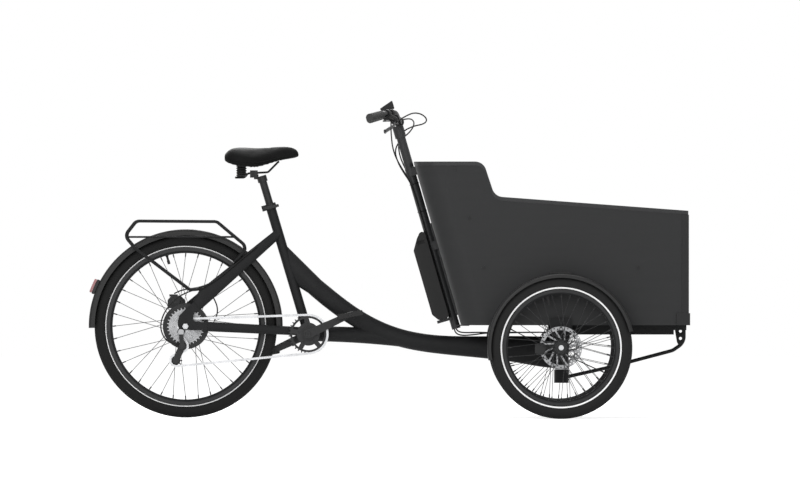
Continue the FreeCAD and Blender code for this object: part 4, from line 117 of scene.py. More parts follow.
class Look(Graph):
    """A material for one kind of surface, drawn in the part's own coordinates."""

    def __init__(self, name):
        self.material = bpy.data.materials.new(name)
        self.material.use_nodes = True
        super().__init__(self.material.node_tree)
        self.place = self.node("TexCoord").outputs["Object"]

    def noise(self, scale, detail=2.0, stretch=None):
        """Smooth noise with a scale in waves a metre, stretched along an axis if wanted."""
        place = self.place
        if stretch:
            place = self.node("Mapping", {"Vector": place, "Scale": stretch}).outputs[0]
        return self.node("TexNoise", {"Vector": place, "Scale": scale, "Detail": detail}).outputs[0]

    def cells(self, scale):
        """Distance to the nearest of a scatter of points."""
        return self.node("TexVoronoi", {"Vector": self.place, "Scale": scale}).outputs["Distance"]

    def span(self, value, low, high, start=0.0, end=1.0):
        """A value mapped from start..end to low..high."""
        values = {"Value": value, "From Min": start, "From Max": end, "To Min": low, "To Max": high}
        return self.node("MapRange", values).outputs[0]

    def blend(self, share, first, second):
        """Two colours mixed by a share."""
        return self.node("Mix", {0: share, 6: first, 7: second}, data_type="RGBA").outputs[2]

    def edge(self, radius):
        """Rises from 0 on open faces to 1 along edges."""
        soft = self.node("Bevel", {"Radius": radius}, samples=6).outputs[0]
        hard = self.node("NewGeometry").outputs["Normal"]
        match = self.node("VectorMath", {0: soft, 1: hard}, operation="DOT_PRODUCT").outputs["Value"]
        return self.span(match, 1.0, 0.0, 0.75, 0.97)

    def bump(self, height, depth, below=None):
        """A normal raised by a height map of that depth in metres."""
        values = {"Height": height, "Distance": depth, "Strength": 1.0}
        if below is not None:
            values["Normal"] = below
        return self.node("Bump", values).outputs[0]

    def rounded(self, radius=0.0008):
        """The surface normal with its sharp edges rounded over."""
        return self.node("Bevel", {"Radius": radius}, samples=4).outputs[0]

    def radius_about(self, x, z):
        """Distance from an axle that runs along Y."""
        parts = self.node("SeparateXYZ", {0: self.place}).outputs
        ahead = self.math("SUBTRACT", parts[0], x)
        above = self.math("SUBTRACT", parts[2], z)
        squares = [self.math("MULTIPLY", value, value) for value in (ahead, above)]
        return self.math("SQRT", self.math("ADD", *squares))

    def finish(self, **values):
        """Puts the surface shader on and gives the material."""
        inputs = {key.replace("_", " "): value for key, value in values.items()}
        shader = self.node("BsdfPrincipled", inputs)
        output = self.node("OutputMaterial")
        self.tree.links.new(shader.outputs[0], output.inputs["Surface"])
        return self.material


def grey(level, tint=0.0):
    """A grey in linear light, turned a little towards blue by a tint."""
    return (level * (1 - tint), level, level * (1 + 2 * tint), 1.0)


# How much paler than its paint a rubbed edge is
RUBBED = 2.2
# From one moulded ring to the next on the side of a tyre
RING_PITCH = 0.0021


def coated(name, level, roughness, peel=0.00006, shine=0.2):
    """Powder coat or paint on metal: fine orange peel, faint dust and edges rubbed a little paler."""
    look = Look(name)
    dust = look.noise(9, 4)
    rubbed = look.math("MULTIPLY", look.edge(0.0022), look.span(look.noise(60, 4), 0, 1, 0.42, 0.62))
    colour = look.blend(dust, grey(level * 0.86, 0.02), grey(level * 1.14, 0.02))
    colour = look.blend(rubbed, colour, grey(level * RUBBED, 0.02))
    gloss = look.span(look.noise(35, 3), roughness - 0.06, roughness + 0.06, 0.3, 0.7)
    normal = look.bump(look.noise(1100, 2), peel, look.rounded())
    return look.finish(Base_Color=colour, Roughness=gloss, Normal=normal, Specular_IOR_Level=shine)


def bare_metal(name, level, roughness):
    """Bright or blackened metal with fine brush marks."""
    look = Look(name)
    marks = look.noise(260, 3, (1, 8, 1))
    smear = look.noise(28, 3)
    colour = look.blend(marks, grey(level * 0.82, 0.01), grey(level * 1.12, 0.01))
    gloss = look.span(smear, roughness - 0.08, roughness + 0.1, 0.3, 0.7)
    normal = look.bump(marks, 0.00002, look.rounded(0.0005))
    return look.finish(Base_Color=colour, Metallic=1.0, Roughness=gloss, Normal=normal)


def moulded(name, level, roughness, texture=420, depth=0.00008):
    """Moulded plastic with an eroded texture."""
    look = Look(name)
    grain = look.noise(texture * 3, 3)
    haze = look.noise(14, 4)
    rubbed = look.math("MULTIPLY", look.edge(0.002), look.span(look.noise(80, 4), 0, 1, 0.45, 0.65))
    colour = look.blend(haze, grey(level * 0.85), grey(level * 1.15))
    colour = look.blend(rubbed, colour, grey(level * 1.9))
    gloss = look.span(grain, roughness - 0.05, roughness + 0.08, 0.3, 0.7)
    normal = look.bump(grain, depth, look.rounded(0.001))
    return look.finish(Base_Color=colour, Roughness=gloss, Normal=normal, Specular_IOR_Level=0.2)


def board(name, level):
    """Film-faced board: a faint grain under a matt skin, with fine scuffs."""
    look = Look(name)
    grain = look.noise(22, 5, (0.25, 1, 3.2))
    pores = look.noise(700, 2, (0.35, 1, 1))
    scuffs = look.span(look.noise(70, 6, (0.2, 1, 1)), 0, 1, 0.64, 0.72)
    colour = look.blend(grain, grey(level * 0.93, 0.015), grey(level * 1.07, 0.015))
    colour = look.blend(look.math("MULTIPLY", scuffs, 0.10), colour, grey(level * 2.0, 0.015))
    rubbed = look.math("MULTIPLY", look.edge(0.0018), look.span(look.noise(50, 4), 0, 1, 0.4, 0.6))
    colour = look.blend(rubbed, colour, grey(level * 1.5, 0.015))
    gloss = look.span(pores, 0.50, 0.62, 0.3, 0.7)
    normal = look.bump(pores, 0.00004, look.rounded(0.0012))
    return look.finish(Base_Color=colour, Roughness=gloss, Normal=normal, Specular_IOR_Level=0.18)


def rubber(name, level, roughness, axle=None, ribs=None):
    """Rubber with a dry bloom, and with rings round an axle (x, z) or ribs of a pitch along Y."""
    look = Look(name)
    bloom = look.noise(40, 5)
    grain = look.noise(900, 2)
    colour = look.blend(bloom, grey(level * 0.8), grey(level * 1.35))
    gloss = look.span(bloom, roughness - 0.06, roughness + 0.08, 0.3, 0.7)
    normal = look.bump(grain, 0.00005)
    if axle:
        out = look.radius_about(*axle)
        rings = look.math("SINE", look.math("MULTIPLY", out, 2 * math.pi / RING_PITCH))
        normal = look.bump(rings, 0.00008, normal)
    if ribs:
        across = look.node("SeparateXYZ", {0: look.place}).outputs[1]
        waves = look.math("SINE", look.math("MULTIPLY", across, 2 * math.pi / ribs))
        normal = look.bump(look.span(waves, 0, 1, -0.4, 0.4), 0.0007, normal)
    return look.finish(Base_Color=colour, Roughness=gloss, Normal=normal, Specular_IOR_Level=0.1)


def reflective(name):
    """Pale reflective tape with a fine cell pattern and a little road film."""
    look = Look(name)
    cells = look.cells(900)
    film = look.noise(30, 4)
    colour = look.blend(film, grey(0.86), grey(0.96))
    normal = look.bump(cells, 0.00003)
    return look.finish(Base_Color=colour, Roughness=look.span(film, 0.3, 0.5), Normal=normal)


def leather(name, level):
    """Synthetic leather: pebbled grain with creases."""
    look = Look(name)
    pebbles = look.cells(620)
    creases = look.noise(130, 4)
    grain = look.math("ADD", look.math("MULTIPLY", pebbles, 0.7), look.math("MULTIPLY", creases, 0.5))
    colour = look.blend(look.noise(18, 4), grey(level * 0.8), grey(level * 1.25))
    gloss = look.span(grain, 0.42, 0.58, 0.2, 0.9)
    normal = look.bump(grain, 0.00018)
    return look.finish(Base_Color=colour, Roughness=gloss, Normal=normal, Specular_IOR_Level=0.06)


def red_lens(name):
    """Clear red lens over a prism pattern."""
    look = Look(name)
    prisms = look.node("TexMagic", {"Vector": look.place, "Scale": 320.0, "Distortion": 0.4},
                       turbulence_depth=1).outputs[1]
    colour = look.blend(look.noise(60, 2), (0.13, 0.004, 0.006, 1), (0.22, 0.009, 0.012, 1))
    normal = look.bump(prisms, 0.0004, look.rounded(0.0012))
    return look.finish(Base_Color=colour, Roughness=0.16, Normal=normal, Coat_Weight=1.0,
                       Coat_Roughness=0.05)


def glass_face(name):
    """Dark display glass with a faint smear."""
    look = Look(name)
    smear = look.noise(55, 4)
    colour = look.blend(smear, grey(0.006, 0.1), grey(0.012, 0.1))
    return look.finish(Base_Color=colour, Roughness=look.span(smear, 0.06, 0.16), Coat_Weight=1.0,
                       Coat_Roughness=0.04)


# Stage: pale floor, white surroundings and soft lamps

FLOOR_RADIUS = 24
FLOOR_GLOW = 0.62
AMBIENT = 0.55
LAMP_AIM = Vector((0, 0, 0.55))
# Name, place, size and power of each lamp
LAMPS = (
    ("key", (-2.6, -4.6, 3.4), 3.0, 80),
    ("front", (-0.9, -5.6, 1.1), 3.2, 70),
    ("fill", (2.8, -4.6, 2.4), 2.6, 50),
    ("top", (0.2, 0.4, 4.2), 3.4, 120),
    ("back", (-0.5, 4.6, 2.6), 3.0, 90),
)


def make_floor():
    """A pale floor that shows as white."""
    bpy.ops.mesh.primitive_circle_add(vertices=96, radius=FLOOR_RADIUS, fill_type="NGON")
    floor = bpy.context.object
    floor.name = "floor"
    look = Look("floor")
    tone = look.blend(look.noise(0.7, 2), grey(0.80), grey(0.82))
    matt = look.node("BsdfDiffuse", {"Color": tone})
    lift = look.math("MULTIPLY", look.looked_at(), FLOOR_GLOW)
    glow = look.node("Emission", {"Color": grey(1.0), "Strength": lift})
    both = look.node("AddShader", {0: matt.outputs[0], 1: glow.outputs[0]})
    look.node("OutputMaterial", {"Surface": both.outputs[0]})
    floor.data.materials.append(look.material)


def make_surroundings():
    """Surroundings that show as white and give a softer light."""
    world = bpy.data.worlds.new("surroundings")
    world.use_nodes = True
    scene.world = world
    sky = Graph(world.node_tree)
    strength = sky.math("ADD", sky.math("MULTIPLY", sky.looked_at(), 1 - AMBIENT), AMBIENT)
    background = sky.node("Background", {"Color": grey(1.0), "Strength": strength})
    sky.node("OutputWorld", {"Surface": background.outputs[0]})


def make_lamps():
    """Soft square lamps round the part."""
    for name, place, size, power in LAMPS:
        data = bpy.data.lights.new(name, "AREA")
        data.size = size
        data.energy = power
        lamp = bpy.data.objects.new(name, data)
        lamp.location = place
        aim = LAMP_AIM - lamp.location
        lamp.rotation_euler = aim.to_track_quat("-Z", "Y").to_euler()
        scene.collection.objects.link(lamp)


# Mesh helpers


def piece_from(name, mesh, looks, body):
    """A shown piece from a finished bmesh, riding on a body."""
    data = bpy.data.meshes.new(name)
    mesh.to_mesh(data)
    mesh.free()
    piece = bpy.data.objects.new(name, data)
    scene.collection.objects.link(piece)
    for look in looks:
        data.materials.append(look)
    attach(piece, body)
    return piece


def smooth(data, angle=32):
    """Smooth shading that keeps edges sharper than an angle in degrees."""
    data.polygons.foreach_set("use_smooth", [True] * len(data.polygons))
    data.set_sharp_from_angle(angle=math.radians(angle))


def grid(mesh, rows, closed):
    """Quads between rings of points, and from the last ring to the first if closed."""
    made = [[mesh.verts.new(point) for point in row] for row in rows]
    count = len(made[0])
    faces = []
    for number in range(len(made) if closed else len(made) - 1):
        near = made[number]
        far = made[(number + 1) % len(made)]
        for step in range(count):
            after = (step + 1) % count
            faces.append(mesh.faces.new((near[step], near[after], far[after], far[step])))
    return faces


def capped(mesh, rows):
    """A closed skin through rings of points, with both ends capped."""
    grid(mesh, rows, False)
    mesh.verts.ensure_lookup_table()
    count = len(rows[0])
    mesh.faces.new(mesh.verts[:count])
    mesh.faces.new(mesh.verts[-count:])
    bmesh.ops.recalc_face_normals(mesh, faces=mesh.faces)


def drawn_mesh(piece):
    """A new mesh of what a piece looks like with its modifiers or bevel."""
    return bpy.data.meshes.new_from_object(piece.evaluated_get(bpy.context.evaluated_depsgraph_get()))


def tube(name, points, radius, look, closed=False):
    """A tube on one smooth spline with its route's points as control points."""
    data = bpy.data.curves.new(name, "CURVE")
    data.dimensions = "3D"
    data.bevel_depth = radius
    data.bevel_resolution = 3
    data.use_fill_caps = True
    spline = data.splines.new("NURBS")
    spline.points.add(len(points) - 1)
    for control, point in zip(spline.points, points):
        control.co = (*point, 1)
    spline.order_u = 3
    spline.use_endpoint_u = not closed
    spline.use_cyclic_u = closed
    data.materials.append(look)
    piece = bpy.data.objects.new(name, data)
    scene.collection.objects.link(piece)
    return piece


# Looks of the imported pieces

REAR_AXLE = (-0.7253, 0.0, 0.3265)
FRONT_AXLE = (0.6127, 0.375, 0.253)
FRONT_SIDES = (("right", -1), ("left", 1))
FRONT_DISC_Y = 0.338
REAR_DISC_Y = 0.053
DISC_HALF = 0.0012
DISC_BORE = 0.018
STUB_NUT_Y = 0.4075
LENS_RADIUS = 0.3574
HANGER_BOLT = (-0.741, -0.080, 0.3066)
HANGER_BOLT_RADIUS = 0.009
DISPLAY_TILT = math.radians(34.3)
DISPLAY_FACING = 0.99
DISPLAY_LOW = 1.09


def from_axle(face, axle):
    """Distance of a face's middle from an axle that runs along Y."""
    return math.hypot(face.center.x - axle[0], face.center.z - axle[2])


def on_front_disc(face):
    """True on a front brake disc."""
    return abs(abs(face.center.y) - FRONT_DISC_Y) < DISC_HALF and from_axle(face, FRONT_AXLE) > DISC_BORE


def on_rear_disc(face):
    """True on the rear brake disc."""
    return abs(face.center.y - REAR_DISC_Y) < DISC_HALF and from_axle(face, REAR_AXLE) > DISC_BORE


def on_stub_nut(face):
    """True on the nuts of the front axles."""
    return abs(face.center.y) > STUB_NUT_Y


def on_hanger_bolt(face):
    """True on the head of the derailleur's bolt."""
    return face.center.y < HANGER_BOLT[1] and from_axle(face, HANGER_BOLT) < HANGER_BOLT_RADIUS


def on_lens(face):
    """True on the tail light's lens."""
    return from_axle(face, REAR_AXLE) > LENS_RADIUS


def on_display_face(face):
    """True on the display's upper face."""
    facing = -math.sin(DISPLAY_TILT) * face.normal.x + math.cos(DISPLAY_TILT) * face.normal.z
    return facing > DISPLAY_FACING and face.center.z > DISPLAY_LOW


def second_look(name, look, test):
    """Puts a second material on the faces of a node that pass a test."""
    data = nodes[name].data
    data.materials.append(look)
    number = len(data.materials) - 1
    for face in data.polygons:
        if test(face):
            face.material_index = number


def dress_frame():
    """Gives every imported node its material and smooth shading, and returns two looks to share."""
    paint = coated("frame_paint", 0.012, 0.46, shine=0.10)
    # Painted light: the column gets the frame paint at twice its level, a lit copy that stands in for
    # the light the box shades from it
    painted_light_column_paint = coated("painted_light_column_paint", 0.025, 0.42)
    satin = coated("satin_black", 0.012, 0.36)
    rail_paint = coated("black_steel_paint", 0.009, 0.42, shine=0.12)
    dark_trim = coated("dark_anodised", 0.022, 0.34, 0.00003)
    bolt_black = coated("blackened_bolts", 0.010, 0.4, 0.00003)
    panel = board("coated_board", 0.0185)
    plastic = moulded("black_plastic", 0.011, 0.5)
    guard = moulded("mudguard_plastic", 0.013, 0.36, 700, 0.00003)
    alloy = coated("black_anodised", 0.014, 0.34, 0.00002)
    steel = bare_metal("bright_steel", 0.40, 0.40)
    disc_steel = bare_metal("disc_steel", 0.24, 0.36)
    dark_steel = bare_metal("black_stainless", 0.035, 0.42)
    grip = rubber("grip_rubber", 0.040, 0.66, ribs=0.0042)
    lens = red_lens("red_lens")
    glass = glass_face("display_glass")
    looks = {
        paint: ("main_beam", "seat_tube", "rear_stays", "front_subframe"),
        painted_light_column_paint: ("steering_column",),
        satin: ("seatpost", "handlebar", "seat_collar", "seat_lever", "crank_arm_right",
                "crank_arm_left"),
        rail_paint: ("rear_rack", "saddle_rails"),
        dark_trim: ("box_trim",),
        bolt_black: ("box_fasteners",),
        panel: ("box_side_right", "box_side_left", "box_front", "box_rear", "box_floor"),
        plastic: ("battery", "cockpit_controls", "shifter_lever", "pedal_right", "pedal_left",
                  "saddle_elastomers", "guide_pulley", "tension_pulley"),
        alloy: ("rear_rim", "front_right_rim", "front_left_rim", "rear_caliper", "front_calipers",
                "derailleur_body", "derailleur_cage", "brake_lever_right", "brake_lever_left",
                "chainring", "rear_hub", "front_right_hub", "front_left_hub"),
        steel: ("frame_bearings", "rear_axle", "chain", "pivot_shaft"),
        disc_steel: ("cassette",),
        dark_steel: ("rear_spokes", "front_right_spokes", "front_left_spokes"),
        grip: ("grips",),
        guard: ("rear_mudguard", "front_mudguards", "tail_light"),
    }
    for look, names in looks.items():
        for name in names:
            data = nodes[name].data
            data.materials.clear()
            data.materials.append(look)
    for node in nodes.values():
        smooth(node.data)
    second_look("front_right_hub", disc_steel, on_front_disc)
    second_look("front_left_hub", disc_steel, on_front_disc)
    second_look("rear_hub", disc_steel, on_rear_disc)
    second_look("front_subframe", steel, on_stub_nut)
    second_look("derailleur_body", disc_steel, on_hanger_bolt)
    second_look("tail_light", lens, on_lens)
    second_look("cockpit_controls", glass, on_display_face)
    return plastic, alloy


# Tyres with their tread and reflective band

TYRE_WALL = 0.0035
# Angles of the section, in degrees from the crown: bead, tread and its steps, flank, inside
BEAD_ANGLE = 157.5
TREAD_HALF = 56
TREAD_STEP = 4
FLANK_ANGLES = (62, 70, 80, 90, 100)
INNER_ANGLES = (BEAD_ANGLE, 90, 0, -90, -BEAD_ANGLE)
STEPS_PER_UNIT = 8
# Grooves round the tyre and slanted cuts across it: where they are, from the crown, and how deep
GROOVE_START = 9
GROOVE_END = 15
GROOVE_DEPTH = 0.0012
CUT_START = 18
CUT_END = 54
CUT_SLANT = 45
CUT_SHARE = 0.24
CUT_DEPTH = 0.0014
# Bead radius, width, band's inner and outer radius, and repeats of the tread
REAR_TYRE = (0.2795, 0.047, (0.2808, 0.2872), 100)
FRONT_TYRE = (0.203, 0.050, (0.2095, 0.2148), 78)


def front_axle(sign):
    """Middle of a front wheel; sign is -1 for the right wheel and 1 for the left one."""
    return FRONT_AXLE[0], sign * FRONT_AXLE[1], FRONT_AXLE[2]


def tread_depth(angle, turn, units):
    """How deep the tread is cut at an angle from the crown and a turn round the wheel."""
    side = abs(angle)
    if GROOVE_START < side < GROOVE_END:
        return GROOVE_DEPTH
    if CUT_START < side < CUT_END:
        shift = 0.5 if angle > 0 else 0
        if (turn * units + side / CUT_SLANT + shift) % 1 < CUT_SHARE:
            return CUT_DEPTH
    return 0


def tyre_angles(middle, half, band):
    """Angles from the crown at which the casing has a ring of points, and those of the band's edges."""
    edges = sorted(math.degrees(math.acos((radius - middle) / half)) for radius in band)
    flank = [*FLANK_ANGLES, (FLANK_ANGLES[-1] + edges[0]) / 2, *edges, BEAD_ANGLE]
    tread = list(range(-TREAD_HALF, TREAD_HALF + 1, TREAD_STEP))
    return [-angle for angle in reversed(flank)] + tread + flank, edges


def tyre(node, body, axle, sizes, looks):
    """A tyre with cut tread, moulded flanks and a pale reflective band, in a look for each."""
    bead_radius, width, band, units = sizes
    half = width / 2
    middle = bead_radius + half
    angles, edges = tyre_angles(middle, half, band)
    rows = []
    for number in range(units * STEPS_PER_UNIT):
        turn = number / (units * STEPS_PER_UNIT)
        swing = 2 * math.pi * turn
        across = [(angle, half - tread_depth(angle, turn, units)) for angle in angles]
        across += [(angle, half - TYRE_WALL) for angle in INNER_ANGLES]
        row = []
        for angle, reach in across:
            radius = middle + reach * math.cos(math.radians(angle))
            side = reach * math.sin(math.radians(angle))
            row.append(Vector(axle) + Vector((radius * math.cos(swing), side, radius * math.sin(swing))))
        rows.append(row)
    mesh = bmesh.new()
    faces = grid(mesh, rows, True)
    count = len(rows[0])
    for number, face in enumerate(faces):
        place = number % count
        if place + 1 < len(angles):
            centre = abs(angles[place] + angles[place + 1]) / 2
            face.material_index = 1 if edges[0] < centre < edges[1] else 0
    bmesh.ops.recalc_face_normals(mesh, faces=mesh.faces)
    piece = piece_from(node + "_treaded", mesh, looks, body)
    smooth(piece.data, 28)
    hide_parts(node)


def make_tyres():
    """All three tyres."""
    band = reflective("reflective_band")
    rear = rubber("rear_tyre_rubber", 0.010, 0.72, (REAR_AXLE[0], REAR_AXLE[2]))
    front = rubber("front_tyre_rubber", 0.014, 0.72, (FRONT_AXLE[0], FRONT_AXLE[2]))
    tyre("rear_tyre", "rear_wheel", REAR_AXLE, REAR_TYRE, [rear, band])
    for side, sign in FRONT_SIDES:
        tyre(f"front_{side}_tyre", f"front_wheel_{side}", front_axle(sign), FRONT_TYRE, [front, band])


# Saddle: a foam pad in a stretched cover, swelled by simulation, on its moulded base

# Sections from nose to tail, from the post top: ahead, half width, then skirt, base and top above it
COVER = ((0.136, 0.012, 0.071, 0.073, 0.083), (0.122, 0.028, 0.063, 0.066, 0.101),
         (0.090, 0.037, 0.054, 0.060, 0.109), (0.042, 0.052, 0.041, 0.052, 0.103),
         (-0.010, 0.094, 0.026, 0.042, 0.099), (-0.062, 0.116, 0.028, 0.040, 0.102),
         (-0.106, 0.108, 0.036, 0.044, 0.103), (-0.131, 0.086, 0.048, 0.054, 0.080))
# The solid cover's nose ahead of the post top, and its lowest place above it
COVER_NOSE = 0.133
COVER_FLOOR = 0.040
# Half of a section's underside: share of the half width, share of the way from skirt to base
COVER_UNDER = ((0.0, 1.0), (0.45, 1.0), (0.74, 0.9), (0.9, 0.08))
# Half of a section's upper side: share of the half width, share of the height from skirt to top
COVER_UPPER = ((0.975, 0.1), (1.0, 0.3), (0.97, 0.55), (0.88, 0.74), (0.72, 0.88), (0.5, 0.95),
               (0.25, 0.965), (0.0, 0.955))
COVER_STATIONS = 40
PAD_INSET = 0.003
PAD_CAP = 0.006
PAD_VOXEL = 0.005
PAD_RELAX = 8
SWELL_FRAMES = 20
SWELL_PRESSURE = 4
# Faces that look down more steeply than this are held on the base
HELD_SLOPE = -0.75
# Moulded base: its thickness, and its section as shares of the half width and of its thickness
PAN_DEPTH = 0.004
PAN_SECTION = ((-0.66, 0.0), (0.66, 0.0), (0.7, 0.3), (0.7, 1.4), (-0.7, 1.4), (-0.7, 0.3))
PIPING_RADIUS = 0.0016


def between(values, share):
    """A smooth value at a share of the way through a row of values."""
    place = share * (len(values) - 1)
    number = min(int(place), len(values) - 2)
    t = place - number
    before = values[max(number - 1, 0)]
    start = values[number]
    end = values[number + 1]
    after = values[min(number + 2, len(values) - 1)]
    bend = start * 2 + (end - before) * t + (before * 2 - start * 5 + end * 4 - after) * t**2
    return (bend + (start * 3 - before - end * 3 + after) * t**3) / 2


def saddle_section(share):
    """Ahead, half width, skirt, base and top of the saddle at a share of its length."""
    return [between(column, share) for column in zip(*COVER)]


def saddle_ring(top, share, inset):
    """One ring of points round the pad at a share of its length."""
    ahead, half, skirt, base, high = saddle_section(share)
    foot = skirt + inset
    points = [(wide, foot + rise * (base + PAN_DEPTH - foot)) for wide, rise in COVER_UNDER]
    points += [(wide, foot + tall * (high - inset - foot)) for wide, tall in COVER_UPPER]
    points += [(-wide, z) for wide, z in points[-2:0:-1]]
    return [top + Vector((ahead, wide * (half - inset), z)) for wide, z in points]


def swell(piece, cap):
    """Blows a closed mesh up as cloth, each point by no more than a cap, and holds the base."""
    rest = [vertex.co.copy() for vertex in piece.data.vertices]
    held = piece.vertex_groups.new(name="held")
    held.add([v.index for v in piece.data.vertices if v.normal.z < HELD_SLOPE], 1.0, "REPLACE")
    cloth = piece.modifiers.new("cloth", "CLOTH")
    cloth.settings.use_pressure = True
    cloth.settings.uniform_pressure_force = SWELL_PRESSURE
    cloth.settings.effector_weights.gravity = 0
    cloth.settings.vertex_group_mass = "held"
    for number in range(1, SWELL_FRAMES + 1):
        scene.frame_set(number)
    shaped = piece.evaluated_get(bpy.context.evaluated_depsgraph_get()).data
    moved = [vertex.co.copy() for vertex in shaped.vertices]
    piece.modifiers.remove(cloth)
    piece.vertex_groups.remove(held)
    for vertex, start, end in zip(piece.data.vertices, rest, moved):
        step = end - start
        vertex.co = start + step * min(1, cap / max(step.length, 1e-9))
    scene.frame_set(1)


def saddle_pan(top, shares, plastic):
    """The moulded base that the pad is stretched over."""
    rows = []
    for share in shares:
        ahead, half, _, base, _ = saddle_section(share)
        section = [(wide * half, base + up * PAN_DEPTH) for wide, up in PAN_SECTION]
        rows.append([top + Vector((ahead, aside, z)) for aside, z in section])
    mesh = bmesh.new()
    capped(mesh, rows)
    pan = piece_from("saddle_pan", mesh, [plastic], "seat")
    smooth(pan.data, 40)
    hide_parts("saddle_cover")


def saddle_piping(pad, top, shares, look):
    """A piped seam round the side of the pad, laid on its finished skin."""
    lines = []
    for sign in (1, -1):
        line = []
        for share in shares:
            ahead, half, skirt, _, high = saddle_section(share)
            wide, tall = COVER_UPPER[1]
            place = top + Vector((ahead, sign * wide * half, skirt + tall * (high - skirt)))
            line.append(pad.closest_point_on_mesh(place)[1])
        lines.append(line)
    piece = tube("saddle_piping", lines[0] + lines[1][::-1], PIPING_RADIUS, look, closed=True)
    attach(piece, "seat")


def make_saddle(plastic):
    """The padded cover with its piping, and the moulded base under it."""
    low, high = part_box("saddle_cover")
    top = Vector((high.x - COVER_NOSE, 0, low.z - COVER_FLOOR))
    cover_look = leather("saddle_leather", 0.0045)
    mesh = bmesh.new()
    shares = [number / (COVER_STATIONS - 1) for number in range(COVER_STATIONS)]
    capped(mesh, [saddle_ring(top, share, PAD_INSET) for share in shares])
    pad = piece_from("saddle_pad", mesh, [cover_look], "seat")
    remesh = pad.modifiers.new("remesh", "REMESH")
    remesh.mode = "VOXEL"
    remesh.voxel_size = PAD_VOXEL
    pad.data = drawn_mesh(pad)
    pad.modifiers.clear()
    swell(pad, PAD_CAP)
    saddle_pan(top, shares[2:-1], plastic)
    saddle_piping(pad, top, shares[1:-1], cover_look)
    relax = pad.modifiers.new("relax", "SMOOTH")
    relax.iterations = PAD_RELAX
    finer = pad.modifiers.new("finer", "SUBSURF")
    finer.levels = finer.render_levels = 1
    smooth(pad.data, 180)
    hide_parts("saddle_cover")


# Cables and hoses on smooth lines along their routes

CABLE_RADIUS = 0.0025
# Routes in millimetres: along the stays, from the bar to the column, and under the box to the pivot
GEAR_ROUTE = ((-470, -50.5, 612), (-520, -58.5, 572), (-570, -66.5, 528), (-622, -76.5, 488),
              (-675, -86, 462), (-728, -90, 446), (-773, -92, 415), (-806, -92, 368), (-816, -90, 322),
              (-800, -85, 281), (-771, -79, 264), (-750, -77, 258))
BRAKE_ROUTE = ((-470, 50.5, 612), (-520, 58.5, 572), (-570, 66.5, 528), (-622, 76.5, 488),
               (-672, 83, 466), (-716, 78, 460), (-748, 68, 454), (-768, 64, 443))
MOTOR_ROUTE = ((-634, 72, 440), (-618, 72, 412), (-612, 72, 384), (-616, 72, 362), (-624, 72, 345))
HOSE_RIGHT = ((38, -176, 1062), (62, -160, 1078), (92, -128, 1090), (121, -88, 1084), (139, -44, 1066),
              (128, 2, 1050), (88, 30, 1043), (50, 40, 1024), (35, 38, 984), (38, 32, 944),
              (53, 26, 903))
HOSE_LEFT = ((36, 176, 1062), (58, 156, 1070), (84, 122, 1070), (94, 80, 1052), (78, 48, 1022),
             (40, 28, 992), (22, 14, 956), (31, 13, 918), (50, 16, 882))
LEAD = ((6.03, -48, 1099.62), (8.3, -48, 1079.8), (9, -44, 1052), (9, -38, 1024), (11, -32, 996),
        (15, -27, 964), (26, -23, 930), (46, -19, 894))
UNDER_RIGHT = ((239, 21.4, 322), (250, 20, 306), (278, 15, 303), (322, 10, 305), (368, 8, 303),
               (428, 8, 305), (486, 8, 304), (540, 8, 305))
UNDER_LEFT = ((233.5, 20, 322), (241, 17, 300), (264, 9, 293), (302, -2, 296), (345, -7, 302),
              (390, -8, 304), (440, -8, 303), (490, -8, 305), (540, -8, 305))
# The two lengths over the pivot, ahead and up, and how far aside they are
CROSSING = ((540.4, 305), (552, 304.6), (566, 301), (580, 294), (588, 289.5))
CROSSING_ASIDE = 8
# The column's back line, and where the hoses and the lead run along it
COLUMN_FOOT_X = 259
COLUMN_FOOT_Z = 332
COLUMN_BEHIND = 19.5
COLUMN_LEAN = math.atan2(169, 582)
HOSE_AHEAD = -3
HOSE_SIDE = 21.8
LEAD_AHEAD = -8.6
LEAD_SIDE = -20.3
HOSE_FOOT = 356
LEAD_FOOT = 362
RUN_TOP = 760
RUN_STEP = 52
RUN_WEAVE = 0.5
# Where they come to the column: height, ahead of its back line, aside
RIGHT_APPROACH = ((856, -5.5, 22.2), (808, -3.4, 22))
LEFT_APPROACH = ((846, -12.6, 18.6), (804, -9.4, 20))
LEAD_APPROACH = ((850, -12.8, -18.2), (806, -9.4, -19.8))


def metres(points):
    """Millimetres to metres."""
    return [tuple(value / 1000 for value in point) for point in points]


def cable(name, points, look, body, node):
    """A cable that rides on a body, from one place on the object to another."""
    piece = tube(name, points, CABLE_RADIUS, look)
    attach(piece, body)
    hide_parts(node)


def down_column(z, ahead, y):
    """A point beside the leaning column at a height along it."""
    x = COLUMN_FOOT_X - (z - COLUMN_FOOT_Z) * math.tan(COLUMN_LEAN)
    x -= COLUMN_BEHIND / math.cos(COLUMN_LEAN)
    return x + ahead * math.cos(COLUMN_LEAN), y, z + ahead * math.sin(COLUMN_LEAN)


def along_column(ahead, y, foot):
    """Points that follow the column down to a height, weaving a little."""
    count = int((RUN_TOP - foot) / RUN_STEP) + 1
    points = []
    for number in range(count):
        height = RUN_TOP - (RUN_TOP - foot) * number / (count - 1)
        points.append(down_column(height, ahead + RUN_WEAVE * (number % 2), y))
    return points


def crossing_cable(name, y, look):
    """A short curved length over the place where the front turns against the frame."""
    points = metres([(x, y, z) for x, z in CROSSING])
    drawn = tube(name + "_line", points, CABLE_RADIUS, look)
    data = drawn_mesh(drawn)
    bpy.data.objects.remove(drawn)
    piece = bpy.data.objects.new(name, data)
    scene.collection.objects.link(piece)
    smooth(data, 60)
    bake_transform(piece)
    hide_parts("crossing_cables")


